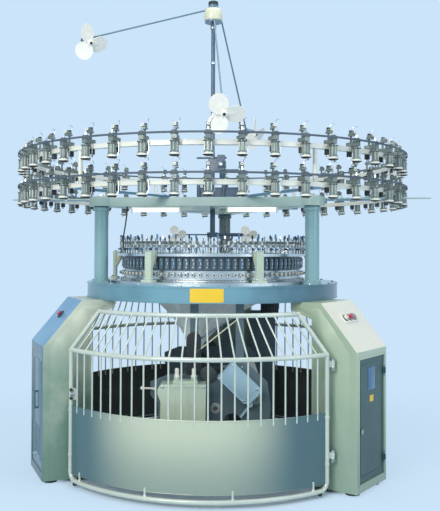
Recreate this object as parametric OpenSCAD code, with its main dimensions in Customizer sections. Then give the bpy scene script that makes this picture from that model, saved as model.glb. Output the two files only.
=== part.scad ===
// Large circular knitting machine on three legs, in millimetres.
// Origin on the machine's vertical axis at floor level, Z up, front guard towards -Y.

/* [Bed and legs] */
// Outer radius of the bed ring
bed_radius = 760; // [750:2:775]
// Height of the bed ring's underside above the floor
bed_bottom = 990; // [970:5:1010]
// Height of the bed ring
bed_height = 90; // [84:2:100]
// Distance from the axis to the outer face of a leg
leg_reach = 1066; // [1050:2:1090]
// Width of a leg
leg_width = 354; // [340:2:364]
// Height at which a leg's sloping shoulder meets its outer face
shoulder_z = 745; // [720:5:770]
// Wall thickness of the legs
leg_wall = 12; // [10:1:14]

/* [Knitting head] */
// Outer radius of the needle cylinder
cylinder_radius = 432; // [426:1:436]
// Outer radius of the cam ring and cam boxes
cam_radius = 550; // [542:2:556]
// Height of the dark cam boxes
cam_box_height = 80; // [70:2:90]
// Number of cam boxes around the head
cam_count = 90; // [60:6:90]
// Height of the yarn guide posts
guide_post_height = 88; // [70:2:100]

/* [Columns and beam] */
// Diameter of the three columns
column_diameter = 80; // [70:2:90]
// Radius of the circle on which the columns stand
column_circle = 702; // [698:1:706]
// Height of the underside of the top beam
beam_bottom = 1520; // [1490:5:1550]
// Height of the top beam's section
beam_height = 50; // [44:2:60]

/* [Feeder rings] */
// Mean radius of both feeder rings
feeder_ring_radius = 1102; // [1090:2:1120]
// Height from the lower ring to the upper ring
ring_spacing = 188; // [170:2:210]
// Number of storage feeders on each ring
feeder_count = 45; // [39:6:45]
// Radius of a storage feeder's yarn drum
drum_radius = 22; // [18:1:24]

/* [Guards] */
// Radius of the guard doors below their middle rail
guard_radius = 955; // [945:1:965]
// Radius of a guard's top rail
guard_top_radius = 840; // [830:2:850]
// Height of the middle rail
guard_mid_z = 730; // [710:2:750]
// Height of the top rail
guard_top_z = 936; // [920:2:945]
// Height of the solid panel's top edge
panel_top_z = 430; // [400:5:470]
// Number of bars in a guard
bar_count = 22; // [18:2:24]

/* [Dust fans] */
// Height of the top of the mast
mast_top = 2810; // [2760:10:2860]
// Diameter of the mast
mast_diameter = 25; // [22:1:28]
// Radius of one round fan petal
petal_radius = 52; // [44:1:54]

/* [Take-down] */
// Radius of the two draw rollers
draw_roller_radius = 34; // [30:1:34]
// Radius of the rolled cloth
cloth_roll_radius = 60; // [45:1:70]
// Length of the rollers between the side plates
roller_length = 1140; // [1120:2:1142]

/* [Hidden] */
$fn = 0;
arc_facets = 360;
running = 0.08;
seat = 0.05;
gap = 0.5;
leg_angles = [210, 330, 90];
guard_angles = [270, 30, 150];
bed_top = bed_bottom + bed_height;

// legs
foot_z = 18;
leg_inner = 800;
leg_shelf_r = 670;
leg_shelf_z = 900;
leg_shelf_end_z = 945;
shoulder_r = 857;
slope_run = leg_reach - shoulder_r;
slope_drop = bed_bottom - shoulder_z;
slope_tilt = atan2(slope_drop, slope_run);
slope_length = norm([slope_run, slope_drop]);
hatch_low = 62;
hatch_high = shoulder_z - 42;
hatch_width = leg_width - 54;
hatch_depth = 4;
hatch_gap = 2;
rebate_width = 12;
foot_radius = 38;
foot_reach = [850, 1010];
foot_spread = leg_width / 2 - 60;
anchor_r = 930;
anchor_hole_r = 9;
gland_r = 16;
gland_rim = 8;
gland_set = 90;
gland_z = 330;
cover_thick = 3;
gland_length = cover_thick + 12;

// oiler cabinet beside the rear leg
oiler_inset = 183;
oiler_y = guard_radius - oiler_inset;
oiler_width = 180;
oiler_depth = 66;
oiler_top = 830;
oiler_rim = 14;
oiler_recess = 6;

// bed
bed_wall = 15;
bed_floor = 14;
bed_lid_inner = 600;
bed_lid = 12;
plate_inner = 470;
column_foot_r = column_diameter / 2 + 12;
plate_outer = column_circle - column_foot_r - 5;
plate_thick = 12;
head_z = bed_top + plate_thick;

// drive
gear_angle = 62;
gear_module = 7.5;
gear_teeth = 172;
pinion_teeth = 12;
gear_pitch_r = gear_module * gear_teeth / 2;
pinion_pitch_r = gear_module * pinion_teeth / 2;
pinion_r = gear_pitch_r + pinion_pitch_r;
gear_z = bed_bottom + 22;
gear_thick = 26;
gear_inner = cylinder_radius - 27;
pinion_shaft_r = 15;
motor_radius = 62;
motor_height = 170;

// head
cam_ring_height = 62;
cam_bore = cylinder_radius + 3;
cam_z = head_z + cam_ring_height;
sinker_z = cam_z + cam_box_height;
sinker_thick = 14;
guide_ring_z = sinker_z + sinker_thick + 42;
guide_ring_r = cam_radius + 12;
guide_segments = cam_count / 6;
segment_gap = 0.1;
bracket_r = 600;
bracket_angles = [0, 60, 120, 180, 240, 300];

// columns and beam
beam_width = 84;
beam_top = beam_bottom + beam_height;
boss_radius = 72;
beam_offset = column_circle / 2;
hub_radius = 120;
outrigger_left = 1145;
outrigger_right = 1258;
lamp_x = [-285, 270];
lamp_length = 270;

// feeder rings
arm_thick = 10;
ring_width = 35;
ring_thick = 24;
lower_ring_z = beam_top + arm_thick;
upper_ring_z = lower_ring_z + ring_spacing;
feeder_pitch = 360 / feeder_count;
arm_angles = [for (k = [0 : 5]) round(k * 60 / feeder_pitch) * feeder_pitch];
arm_inner = 430;
spindle_r = feeder_ring_radius + ring_width / 2 + drum_radius + 4;
unit_height = 22;
pulley_radius = 20;
pulley_height = 14;
belt_r = spindle_r + pulley_radius + 1;
belt_height = 10;
belt_thick = 2;

// guards
guard_tube_r = 12;
guard_bar_r = 4.5;
guard_low_z = 36;
guard_side = 62;
guard_top_side = 117;
guard_half = 60 - asin((leg_width / 2 + guard_side) / guard_radius);
guard_top_half = 60 - asin((leg_width / 2 + guard_top_side) / guard_top_radius);
guard_bend = 45;
sleeve = 16;
panel_low_z = 72;
panel_thick = 3;
hinge_side = 30;
hinge_r = guard_radius + 10;
hinge_angle = 60 - asin((leg_width / 2 + hinge_side) / hinge_r);
hinge_heights = [188, 660];
hinge_pin_r = 5;
knuckle_r = 11;
knuckle_height = 44;
latch_z = 498;
latch_set = 35;
latch_angle = guard_half - asin(latch_set / guard_radius);
latch_spindle_r = 5;
tongue_depth = 26;
striker_r = guard_radius - tongue_depth - 7.5;

// mast and dust fans
mast_base_z = beam_top + 120;
fan_turn = 7;
head_z_low = mast_top - 130;
boom_hub_r = 52;
fan_pitch = 24;
fan_hub_r = 22;
fan_reach = 76;
fan_motor_r = 26;
fan_motor_length = 58;
fan_motor_set = 16;
fan_stub = 28;
fan_shaft_r = 5;
fan_shaft_seat = 12;
// each outer fan: where its rod leaves the head, where the fan's hub is,
// and the tilt and turn of its axis
rod_radius = 5;
fan_starts = [[-48, 0, -50], [6, -48, -112], [46, 12, -52]];
fan_centres = [[-760, -20, -262], [60, -660, -815], [282, 340, -770]];
fan_tilts = [[112, 40], [118, 4], [104, 62]];
inner_z = beam_bottom - 162;
inner_reach = 218;
inner_petal = petal_radius * 0.46;
inner_drop = 22;

// take-down
rotor_turn = 7;
roller_play = 7;
pedestal_r = 150;
pivot_r = 40;
carrier_z = 250;
carrier_height = 50;
plate_y = roller_length / 2 + roller_play;
side_plate = 14;
shaft_r = 12;
roller_z = 520;
nip_x = -110;
nip_gap = 2;
draw_offset = draw_roller_radius + nip_gap / 2;
guide_roller = [20, 420, 24];
cloth_axis = [237, 470];
winding_at = [150, 556];
winding_tilt = 44;
upright_x = [-95, 150];
upright_width = 45;
upright_low = 560;
bed_floor_inner = norm([plate_y + side_plate, max(upright_x) + upright_width / 2]) + 9.5;
fabric_top_r = cylinder_radius - 31;
fabric_top_z = gear_z + gear_thick;
fabric_hang_z = gear_z - 10;
fabric_low_z = roller_z + 44;
fabric_half = roller_length / 2 - 50;
fabric_wall = 3;
lever_x = -308;
lever_y = -plate_y - side_plate - 22;
lever_z = 528;
lever_pin_r = 7;

// shared shapes

module ring(outer, inner, height) {
    rotate_extrude()
        translate([inner, 0]) square([outer - inner, height]);
}

module arc_tube(radius, tube, from, to) {
    rotate_extrude(angle = to - from, start = from, $fn = arc_facets)
        translate([radius, 0]) circle(tube, $fn = 0);
}

function polar(r, a, z) = [r * cos(a), r * sin(a), z];

// straight rod between two points
module rod(a, b, r) {
    d = b - a;
    translate(a)
        rotate([0, acos(d[2] / norm(d)), atan2(d[1], d[0])])
            cylinder(h = norm(d), r = r);
}

// axis along -Y with its end plane at y
module along_y(x, y, z) {
    translate([x, y, z]) rotate([-90, 0, 0]) children();
}

// gear outline with straight flanks, one tooth centred on +X
module gear_outline(teeth, tip, root) {
    pitch = 360 / teeth;
    polygon([for (i = [0 : teeth - 1], k = [0 : 3])
        let (a = i * pitch + [-0.31, -0.14, 0.14, 0.31][k] * pitch,
             r = (k == 0 || k == 3) ? root : tip)
        [r * cos(a), r * sin(a)]]);
}

// legs and base

module leg_profile() {
    polygon([[leg_inner, foot_z], [leg_reach, foot_z], [leg_reach, shoulder_z],
        [shoulder_r, bed_bottom], [leg_shelf_r, bed_bottom],
        [leg_shelf_r, leg_shelf_end_z], [leg_inner, leg_shelf_z]]);
}

module leg_cavity() {
    polygon([[leg_inner + leg_wall, foot_z + leg_wall], [leg_reach - leg_wall, foot_z + leg_wall],
        [leg_reach - leg_wall, shoulder_z], [shoulder_r - leg_wall, bed_bottom - 2 * leg_wall],
        [leg_inner + leg_wall, bed_bottom - 2 * leg_wall]]);
}

module side_extrude(width) {
    translate([0, width / 2, 0]) rotate([90, 0, 0]) linear_extrude(width) children();
}

// places children on the sloping shoulder, X down the slope and Z outwards
module on_slope(along, across) {
    translate([shoulder_r, 0, bed_bottom])
        rotate([0, slope_tilt, 0]) translate([along, across, 0]) children();
}

// strips behind a hatch's two long edges, which it rests on
module rebate_strips() {
    for (s = [-1, 1])
        translate([leg_reach - leg_wall, s * (hatch_width - rebate_width) / 2 - rebate_width / 2, hatch_low])
            cube([leg_wall - hatch_depth - 3, rebate_width, hatch_high - hatch_low]);
}

module leg_body(holes) {
    difference() {
        side_extrude(leg_width) leg_profile();
        side_extrude(leg_width - 2 * leg_wall) leg_cavity();
        translate([leg_reach - 2 * leg_wall, -hatch_width / 2, hatch_low])
            cube([3 * leg_wall, hatch_width, hatch_high - hatch_low]);
        translate([anchor_r, 0, 0]) cylinder(h = 3 * leg_wall, r = anchor_hole_r);
        for (h = holes) on_slope(h[0], h[1])
            translate([0, 0, -2 * leg_wall]) cylinder(h = 3 * leg_wall, r = button_stem_r + running);
    }
    for (h = holes) on_slope(h[0], h[1]) difference() {
        cylinder(h = bezel_height, r = bezel_r);
        translate([0, 0, -1]) cylinder(h = bezel_height + 2, r = button_stem_r + running);
    }
}

button_stem_r = 8;
button_cap_r = 13;
bezel_r = 18;
bezel_height = 6;
button_travel = 4;
right_buttons = [[112, -48], [112, 0], [112, 48]];
left_buttons = [[118, 0]];

module leg_left() {
    color("#b7c2ad") rotate([0, 0, leg_angles[0]]) {
        leg_body(left_buttons);
        rebate_strips();
    }
}

module leg_right() {
    color("#b7c2ad") rotate([0, 0, leg_angles[1]]) leg_body(right_buttons);
}

module leg_rear() {
    color("#b7c2ad") rotate([0, 0, leg_angles[2]]) {
        leg_body([]);
        rebate_strips();
    }
}

module hatch_plate(thick) {
    translate([leg_reach - hatch_depth - thick, -hatch_width / 2 + hatch_gap, hatch_low + hatch_gap])
        cube([thick, hatch_width - 2 * hatch_gap, hatch_high - hatch_low - 2 * hatch_gap]);
}

module leg_covers() {
    color("#6f9ab8") for (a = [leg_angles[0], leg_angles[2]]) rotate([0, 0, a])
        difference() {
            union() {
                hatch_plate(cover_thick);
                // boss of the mains lead's inlet, on the rear cover only
                if (a == leg_angles[2]) inlet_axis() cylinder(h = gland_length, r = gland_r + gland_rim);
                // pull handle
                for (z = [0, 90]) translate([leg_reach - hatch_depth, -6, 380 + z]) cube([16, 12, 10]);
                translate([leg_reach - hatch_depth + 12, -6, 380]) cube([8, 12, 100]);
            }
            for (y = [-1, 1], z = [hatch_low + 40, hatch_high - 40])
                translate([leg_reach - 20, y * (hatch_width / 2 - 40), z]) rotate([0, 90, 0])
                    cylinder(h = 30, r = 3);
            if (a == leg_angles[2]) inlet_axis() translate([0, 0, -1])
                cylinder(h = gland_length + 2, r = gland_r);
        }
}

// children stand on the cover's back, Z outwards, where the mains lead enters
module inlet_axis() {
    translate([leg_reach - hatch_depth - cover_thick, gland_set, gland_z]) rotate([0, 90, 0]) children();
}

module foot_pad(hole) {
    rotate_extrude() polygon([[hole, 0], [foot_radius, 0], [foot_radius, foot_z - 8],
        [foot_radius - 6, foot_z], [hole, foot_z]]);
}

module levelling_feet() {
    color("#3c4246") for (a = leg_angles) rotate([0, 0, a]) {
        for (r = foot_reach, s = [-1, 1]) translate([r, s * foot_spread, 0]) foot_pad(0);
        // anchor pad with its bolt hole
        translate([anchor_r, 0, 0]) foot_pad(anchor_hole_r);
    }
}

module base_frame() {
    color("#5c6f72") {
        for (a = leg_angles) rotate([0, 0, a]) {
            translate([pedestal_r - 20, -60, foot_z]) cube([leg_inner - pedestal_r + 20, 120, 70]);
            translate([leg_inner - 16, -110, foot_z]) cube([16, 220, 110]);
        }
        cylinder(h = 180, r = pedestal_r);
        translate([0, 0, 170]) cylinder(h = 90, r = pivot_r);
    }
}

// bed and drive

module bed_ring() {
    color("#5f8ba4") difference() {
        rotate_extrude() polygon([[bed_floor_inner, bed_bottom], [bed_radius, bed_bottom],
            [bed_radius, bed_top], [bed_lid_inner, bed_top], [bed_lid_inner, bed_top - bed_lid],
            [bed_radius - bed_wall, bed_top - bed_lid], [bed_radius - bed_wall, bed_bottom + bed_floor],
            [bed_floor_inner, bed_bottom + bed_floor]]);
        rotate([0, 0, gear_angle]) translate([pinion_r, 0, bed_bottom - 1])
            cylinder(h = bed_floor + 2, r = pinion_shaft_r + running);
    }
}

module bed_plate() {
    color("#cfd3d4") translate([0, 0, bed_top]) difference() {
        ring(plate_outer, plate_inner, plate_thick);
        for (i = [0 : 23]) rotate([0, 0, i * 15 + 7.5]) translate([plate_outer - 18, 0, plate_thick - 5])
            cylinder(h = 6, r = 6);
    }
}

module oiler_cabinet() {
    color("#5d7480") translate([leg_width / 2, oiler_y, 0]) {
        difference() {
            translate([0, 0, foot_z]) cube([oiler_width, oiler_depth, oiler_top - foot_z]);
            translate([oiler_rim, oiler_depth - oiler_recess, 4 * oiler_rim])
                cube([oiler_width - 2 * oiler_rim, oiler_recess + 2, oiler_top - 8 * oiler_rim]);
        }
        // handle and plinth
        translate([oiler_width - 3 * oiler_rim, oiler_depth - oiler_recess, oiler_top / 2])
            cube([8, 2 * oiler_recess, 60]);
        translate([3 * oiler_rim, oiler_rim, 0])
            cube([oiler_width - 6 * oiler_rim, oiler_depth - 2 * oiler_rim, foot_z]);
    }
}

module main_motor() {
    color("#7c868a") rotate([0, 0, gear_angle]) translate([pinion_r, 0, bed_bottom])
        difference() {
            union() {
                translate([0, 0, -16]) cylinder(h = 16, r = motor_radius + 2);
                translate([0, 0, -16 - motor_height]) cylinder(h = motor_height, r = motor_radius - 6);
                for (i = [0 : 17]) rotate([0, 0, i * 20]) translate([0, -2, -6 - motor_height])
                    cube([motor_radius, 4, motor_height - 20]);
                translate([motor_radius - 16, -30, -130]) cube([36, 60, 70]);
            }
            translate([0, 0, -120]) cylinder(h = 130, r = pinion_shaft_r + running);
        }
}

module drive_pinion() {
    color("#9aa1a5") rotate([0, 0, gear_angle]) translate([pinion_r, 0, 0]) {
        translate([0, 0, gear_z]) linear_extrude(gear_thick)
            rotate(180 / pinion_teeth)
                gear_outline(pinion_teeth, pinion_pitch_r + 0.8 * gear_module,
                    pinion_pitch_r - 1.1 * gear_module);
        translate([0, 0, bed_bottom - 110]) cylinder(h = 112 + gear_z - bed_bottom, r = pinion_shaft_r);
    }
}

// turning parts of the head

module ring_gear() {
    color("#8d9498") rotate([0, 0, gear_angle]) translate([0, 0, gear_z]) difference() {
        linear_extrude(gear_thick)
            gear_outline(gear_teeth, gear_pitch_r + 0.8 * gear_module, gear_pitch_r - 1.1 * gear_module);
        translate([0, 0, -1]) cylinder(h = gear_thick + 2, r = gear_inner);
    }
}

module needle_cylinder() {
    color("#b9bec0") translate([0, 0, gear_z + gear_thick + seat]) rotate_extrude()
        polygon([[gear_inner, 0], [cylinder_radius, 0],
            [cylinder_radius, sinker_z + 6 - gear_z - gear_thick],
            [cylinder_radius - 5, sinker_z + 12 - gear_z - gear_thick],
            [cylinder_radius - 11, sinker_z + 12 - gear_z - gear_thick],
            [gear_inner, sinker_z - 20 - gear_z - gear_thick]]);
}

// take-down, built with its rollers along Y

module in_rotor() { rotate([0, 0, rotor_turn]) children(); }

module side_plate_outline() {
    polygon([[-290, carrier_z], [300, carrier_z], [318, 420], [300, 560], [200, 650],
        [60, 650], [40, 600], [-230, 600], [-330, 560], [-330, 490], [-290, 440]]);
}

module takedown_frame() {
    bores = [[nip_x - draw_offset, roller_z], [nip_x + draw_offset, roller_z],
        [guide_roller[0], guide_roller[1]], cloth_axis];
    color("#50636c") in_rotor() difference() {
        union() {
            // carrier beam and its bearing hub
            translate([-60, -plate_y, carrier_z]) cube([120, 2 * plate_y, carrier_height]);
            translate([0, 0, 186]) cylinder(h = carrier_z - 180, r = 100);
            for (s = [-1, 1]) {
                y0 = s > 0 ? plate_y : -plate_y - side_plate;
                translate([0, y0 + side_plate, 0]) rotate([90, 0, 0])
                    linear_extrude(side_plate) pierced_side_plate();
                for (x = upright_x) translate([(s < 0 ? x : -x) - upright_width / 2, y0, upright_low])
                    cube([upright_width, side_plate, gear_z - upright_low]);
                // diagonal brace
                rod([s * 95, y0 + side_plate / 2, 770], [s * -150, y0 + side_plate / 2, 930], 6);
            }
        }
        translate([0, 0, 180]) cylinder(h = 82, r = pivot_r + running);
        for (b = bores, s = [-1, 1])
            translate([b[0], s * (plate_y + side_plate / 2) - side_plate, b[1]]) rotate([-90, 0, 0])
                cylinder(h = 2 * side_plate, r = shaft_r + running);
        along_y(lever_x, lever_y, lever_z) cylinder(h = 60, r = lever_pin_r + running);
    }
}

module pierced_side_plate() {
    difference() {
        side_plate_outline();
        // lightening windows
        translate([110, 340]) circle(52);
        translate([-60, 330]) circle(40);
    }
}

module gearbox_cover() {
    color("#bccbb9") in_rotor() {
        translate([0, -plate_y - side_plate, 0]) rotate([90, 0, 0])
            difference() {
                linear_extrude(116)
                    polygon([[-272, 300], [-34, 300], [-30, 566], [-266, 566], [-284, 540], [-284, 516],
                        [-268, 476]]);
                translate([0, 0, -1]) linear_extrude(110)
                    polygon([[-262, 306], [-42, 306], [-38, 558], [-258, 558], [-258, 476]]);
            }
        // stud plate on top
        translate([-205, -plate_y - side_plate - 96, 566]) cube([130, 70, 16]);
        for (x = [-185, -95]) translate([x, -plate_y - side_plate - 60, 580]) {
            cylinder(h = 58, r = 10);
            cylinder(h = 18, r = 16);
        }
    }
}

// slanting guard over the drive from the draw rollers to the cloth roll
module winding_guard() {
    // its low end stays clear of the cloth roll's shaft
    end = (cloth_axis[0] - winding_at[0]) * cos(winding_tilt)
        + (winding_at[1] - cloth_axis[1]) * sin(winding_tilt) - shaft_r - 3;
    wall = 8;
    color("#a9c3dc") in_rotor() translate([0, -plate_y - side_plate, 0]) rotate([90, 0, 0]) {
        translate([winding_at[0], winding_at[1], 0]) rotate(-winding_tilt) {
            difference() {
                linear_extrude(64)
                    polygon([[-112, -58], [end - 26, -58], [end, -40], [end, 50], [end - 16, 62],
                        [-112, 62]]);
                translate([0, 0, -1]) linear_extrude(64 - wall + 1)
                    polygon([[-112 + wall, -58 + wall], [end - 26 - wall / 2, -58 + wall],
                        [end - wall, -40 + wall / 2], [end - wall, 50 - wall / 2],
                        [end - 16 - wall / 2, 62 - wall], [-112 + wall, 62 - wall]]);
            }
            // clamp and stay at the low end
            translate([end + 6, -38, 0]) {
                cylinder(h = 52, r = 14);
                translate([0, -6, 10]) rotate(-84) cube([84, 12, 10]);
            }
        }
    }
}

module roller(x, z, r) {
    along_y(x, -roller_length / 2, z) cylinder(h = roller_length, r = r);
    along_y(x, -plate_y - side_plate - 4, z) cylinder(h = 2 * (plate_y + side_plate + 4), r = shaft_r);
}

module draw_roller(side) {
    color("#39454c") in_rotor() roller(nip_x + side * draw_offset, roller_z, draw_roller_radius);
}

module draw_roller_left() { draw_roller(-1); }
module draw_roller_right() { draw_roller(1); }
module guide_roller_low() {
    color("#aeb6b8") in_rotor() roller(guide_roller[0], guide_roller[1], guide_roller[2]);
}

module cloth_roll() {
    color("#8f9698") in_rotor() {
        along_y(cloth_axis[0], -fabric_half, cloth_axis[1])
            cylinder(h = 2 * fabric_half, r = cloth_roll_radius);
        along_y(cloth_axis[0], -roller_length / 2, cloth_axis[1]) cylinder(h = roller_length, r = 26);
        along_y(cloth_axis[0], -plate_y - side_plate - 8, cloth_axis[1])
            cylinder(h = 2 * (plate_y + side_plate) + 60, r = shaft_r);
        // hand knob at the far end
        along_y(cloth_axis[0], plate_y + side_plate + 34, cloth_axis[1]) cylinder(h = 26, r = 24);
    }
}

module tension_lever() {
    color("#e6e4d6") in_rotor() {
        rod([lever_x, lever_y, lever_z], [lever_x - 62, lever_y, lever_z + 2], 5);
        translate([lever_x - 64, lever_y, lever_z + 2]) sphere(11);
        along_y(lever_x, lever_y - 9, lever_z) cylinder(h = 44, r = lever_pin_r);
    }
}

// knitted tube: straight through the gear's bore, then flattening down to the nip
fabric_sides = 48;
fabric_levels = 8;
function slot_point(a, inset) =
    [nip_x + (5 - inset) * cos(a), (fabric_half - inset) * (abs(sin(a)) < 0.999 ? sin(a) : sign(sin(a)))];
function fabric_point(k, a, inset) =
    let (t = max(k - 1, 0) / (fabric_levels - 2), s = 1 - pow(1 - t, 2.1), p = slot_point(a, inset))
    [(1 - s) * (fabric_top_r - inset) * cos(a) + s * p[0],
     (1 - s) * (fabric_top_r - inset) * sin(a) + s * p[1],
     k == 0 ? fabric_top_z - 2 : fabric_hang_z + (fabric_low_z - fabric_hang_z) * t];

module fabric_tube() {
    n = fabric_sides;
    m = fabric_levels;
    points = concat(
        [for (k = [0 : m - 1], i = [0 : n - 1]) fabric_point(k, i * 360 / n, 0)],
        [for (k = [0 : m - 1], i = [0 : n - 1]) fabric_point(k, i * 360 / n, fabric_wall)]);
    function at(layer, k, i) = layer * n * m + k * n + i % n;
    color("#8e908e") in_rotor() polyhedron(points, concat(
        [for (k = [0 : m - 2], i = [0 : n - 1]) [at(0, k, i), at(0, k, i + 1), at(0, k + 1, i + 1)]],
        [for (k = [0 : m - 2], i = [0 : n - 1]) [at(0, k, i), at(0, k + 1, i + 1), at(0, k + 1, i)]],
        [for (k = [0 : m - 2], i = [0 : n - 1]) [at(1, k, i), at(1, k + 1, i + 1), at(1, k, i + 1)]],
        [for (k = [0 : m - 2], i = [0 : n - 1]) [at(1, k, i), at(1, k + 1, i), at(1, k + 1, i + 1)]],
        [for (i = [0 : n - 1]) [at(0, 0, i), at(1, 0, i), at(1, 0, i + 1)]],
        [for (i = [0 : n - 1]) [at(0, 0, i), at(1, 0, i + 1), at(0, 0, i + 1)]],
        [for (i = [0 : n - 1]) [at(0, m - 1, i), at(1, m - 1, i + 1), at(1, m - 1, i)]],
        [for (i = [0 : n - 1]) [at(0, m - 1, i), at(0, m - 1, i + 1), at(1, m - 1, i + 1)]]));
}

// guard doors, built facing +X

module guard_frame() {
    low = guard_low_z;
    bent = atan(guard_bend / guard_radius);
    side_r = guard_radius / cos(bent);
    for (e = [[guard_radius, low, guard_half - bent], [guard_radius, guard_mid_z, guard_half],
              [guard_top_radius, guard_top_z, guard_top_half]])
        translate([0, 0, e[1]]) arc_tube(e[0], guard_tube_r, -e[2], e[2]);
    for (s = [-1, 1]) scale([1, s, 1]) {
        // lower corner, bent from the rail's end up into the side tube, with a sleeve on each joint
        translate(polar(guard_radius, guard_half - bent, low + guard_bend))
            rotate([0, 0, guard_half - bent + 90]) {
                rotate([90, 0, 0]) arc_tube(guard_bend, guard_tube_r, -90, 0);
                translate([-sleeve / 2, 0, -guard_bend]) rotate([0, 90, 0])
                    cylinder(h = sleeve, r = guard_tube_r + 0.8);
                translate([guard_bend, 0, -sleeve / 2]) cylinder(h = sleeve, r = guard_tube_r + 0.8);
            }
        rod(polar(side_r, guard_half, low + guard_bend), polar(side_r, guard_half, guard_mid_z),
            guard_tube_r);
        rod(polar(side_r, guard_half, guard_mid_z), polar(guard_top_radius, guard_top_half, guard_top_z),
            guard_tube_r);
        for (e = [[side_r, guard_half, guard_mid_z], [guard_top_radius, guard_top_half, guard_top_z]])
            translate(polar(e[0], e[1], e[2])) sphere(guard_tube_r + 1.5);
    }
    step = 2 * guard_half / (bar_count + 1);
    for (i = [1 : bar_count]) {
        a = -guard_half + i * step;
        b = a * guard_top_half / guard_half;
        rod(polar(guard_radius, a, panel_top_z - 30), polar(guard_radius, a, guard_mid_z), guard_bar_r);
        rod(polar(guard_radius, a, guard_mid_z), polar(guard_top_radius, b, guard_top_z), guard_bar_r);
    }
    // short posts under the panel
    for (k = [-1.5 : 1 : 1.5]) {
        a = k * guard_half * 7 / 12;
        rod(polar(guard_radius, a, low), polar(guard_radius, a, panel_low_z + 20), 6);
    }
    // hinge knuckles on the side away from the latch
    for (z = hinge_heights) difference() {
        union() {
            translate(polar(hinge_r, hinge_angle, z)) cylinder(h = knuckle_height, r = knuckle_r);
            hinge_strap(z + 6);
        }
        translate(polar(hinge_r, hinge_angle, z - 1))
            cylinder(h = knuckle_height + 2, r = hinge_pin_r + running);
    }
    // latch plate
    difference() {
        rotate([0, 0, -latch_angle]) translate([guard_radius - 3, -34, latch_z - 30]) cube([6, 54, 60]);
        latch_axis() translate([0, 0, -20]) cylinder(h = 40, r = latch_spindle_r + running);
    }
}

// strap from the side tube to the knuckle
module hinge_strap(z) {
    rotate([0, 0, guard_half]) translate([guard_radius + 2, 0, z])
        cube([6, hinge_r * sin(hinge_angle - guard_half) - 3, knuckle_height - 12]);
}

module latch_axis() {
    rotate([0, 0, -latch_angle]) translate([guard_radius, 0, latch_z]) rotate([0, 90, 0]) children();
}

module guard_panel() {
    translate([0, 0, panel_low_z])
        rotate_extrude(angle = 2 * guard_half, start = -guard_half, $fn = arc_facets)
        translate([guard_radius - panel_thick / 2, 0]) square([panel_thick, panel_top_z - panel_low_z]);
}

module guard_latch() {
    latch_axis() {
        translate([0, 0, -tongue_depth]) cylinder(h = tongue_depth + 6, r = latch_spindle_r);
        translate([0, 0, 3 + gap]) cylinder(h = 12, r = 15);
        translate([-22, -5, 12]) cube([44, 10, 10]);
        translate([-80, -7, -tongue_depth]) cube([90, 14, 6]);
    }
}

module fixed_latch() {
    latch_axis() {
        translate([0, 0, -tongue_depth]) cylinder(h = tongue_depth + 10, r = latch_spindle_r + 1);
        translate([0, 0, 2]) cylinder(h = 14, r = 15);
        translate([-22, -5, 12]) cube([44, 10, 10]);
        translate([-80, -7, -tongue_depth]) cube([90, 14, 6]);
    }
}

module guard_front_frame() { color("#dfe6df") rotate([0, 0, guard_angles[0]]) guard_frame(); }
module guard_front_panel() { color("#b3c4b0") rotate([0, 0, guard_angles[0]]) guard_panel(); }
module guard_front_latch() { color("#c5c8c8") rotate([0, 0, guard_angles[0]]) guard_latch(); }
// the two rear guards carry their latches fused to the frame
module guard_right_frame() {
    color("#dfe6df") rotate([0, 0, guard_angles[1]]) { guard_frame(); fixed_latch(); }
}
module guard_right_panel() { color("#b3c4b0") rotate([0, 0, guard_angles[1]]) guard_panel(); }
module guard_left_frame() {
    color("#dfe6df") rotate([0, 0, guard_angles[2]]) { guard_frame(); fixed_latch(); }
}
module guard_left_panel() { color("#b3c4b0") rotate([0, 0, guard_angles[2]]) guard_panel(); }

// pins and brackets on the legs' side faces, the latch strikers and the cabinet door's knuckles
module guard_hinges() {
    cabinet_hinges();
    side = 60 - hinge_angle;
    pin = [hinge_r * cos(side), hinge_r * sin(side)];
    color("#8b9496") for (a = leg_angles) rotate([0, 0, a]) {
        for (z = hinge_heights) {
            translate([pin[0], -pin[1], z - 14]) cylinder(h = knuckle_height + 20, r = hinge_pin_r);
            translate([pin[0] - knuckle_r, -pin[1] - knuckle_r, z - 14])
                cube([2 * knuckle_r, pin[1] + knuckle_r - leg_width / 2, 14 - gap]);
        }
        translate([striker_r, leg_width / 2, latch_z - 24]) cube([8, 38, 48]);
    }
}

// control cabinet in the right leg

lock_y = -hatch_width / 2 + 32;
lock_z = 330;
lock_r = 9;
door_thick = 3;
barrel_r = 4.5;
barrel_height = 30;
barrel_pin_r = 2.5;
barrel_at = [leg_reach + barrel_r + gap, hatch_width / 2];
barrel_heights = [hatch_low + 70, hatch_high - 100];

// knuckles above and below the door's barrels, with the pin that runs through them
module cabinet_hinges() {
    color("#8b9496") rotate([0, 0, leg_angles[1]]) for (z = barrel_heights) {
        translate([barrel_at[0], barrel_at[1], z - 12]) cylinder(h = barrel_height + 24, r = barrel_pin_r);
        for (dz = [-12, barrel_height + gap]) {
            translate([barrel_at[0], barrel_at[1], z + dz]) cylinder(h = 12 - gap, r = barrel_r);
            translate([leg_reach, barrel_at[1], z + dz]) cube([barrel_r + gap, 16, 12 - gap]);
        }
    }
}

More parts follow.
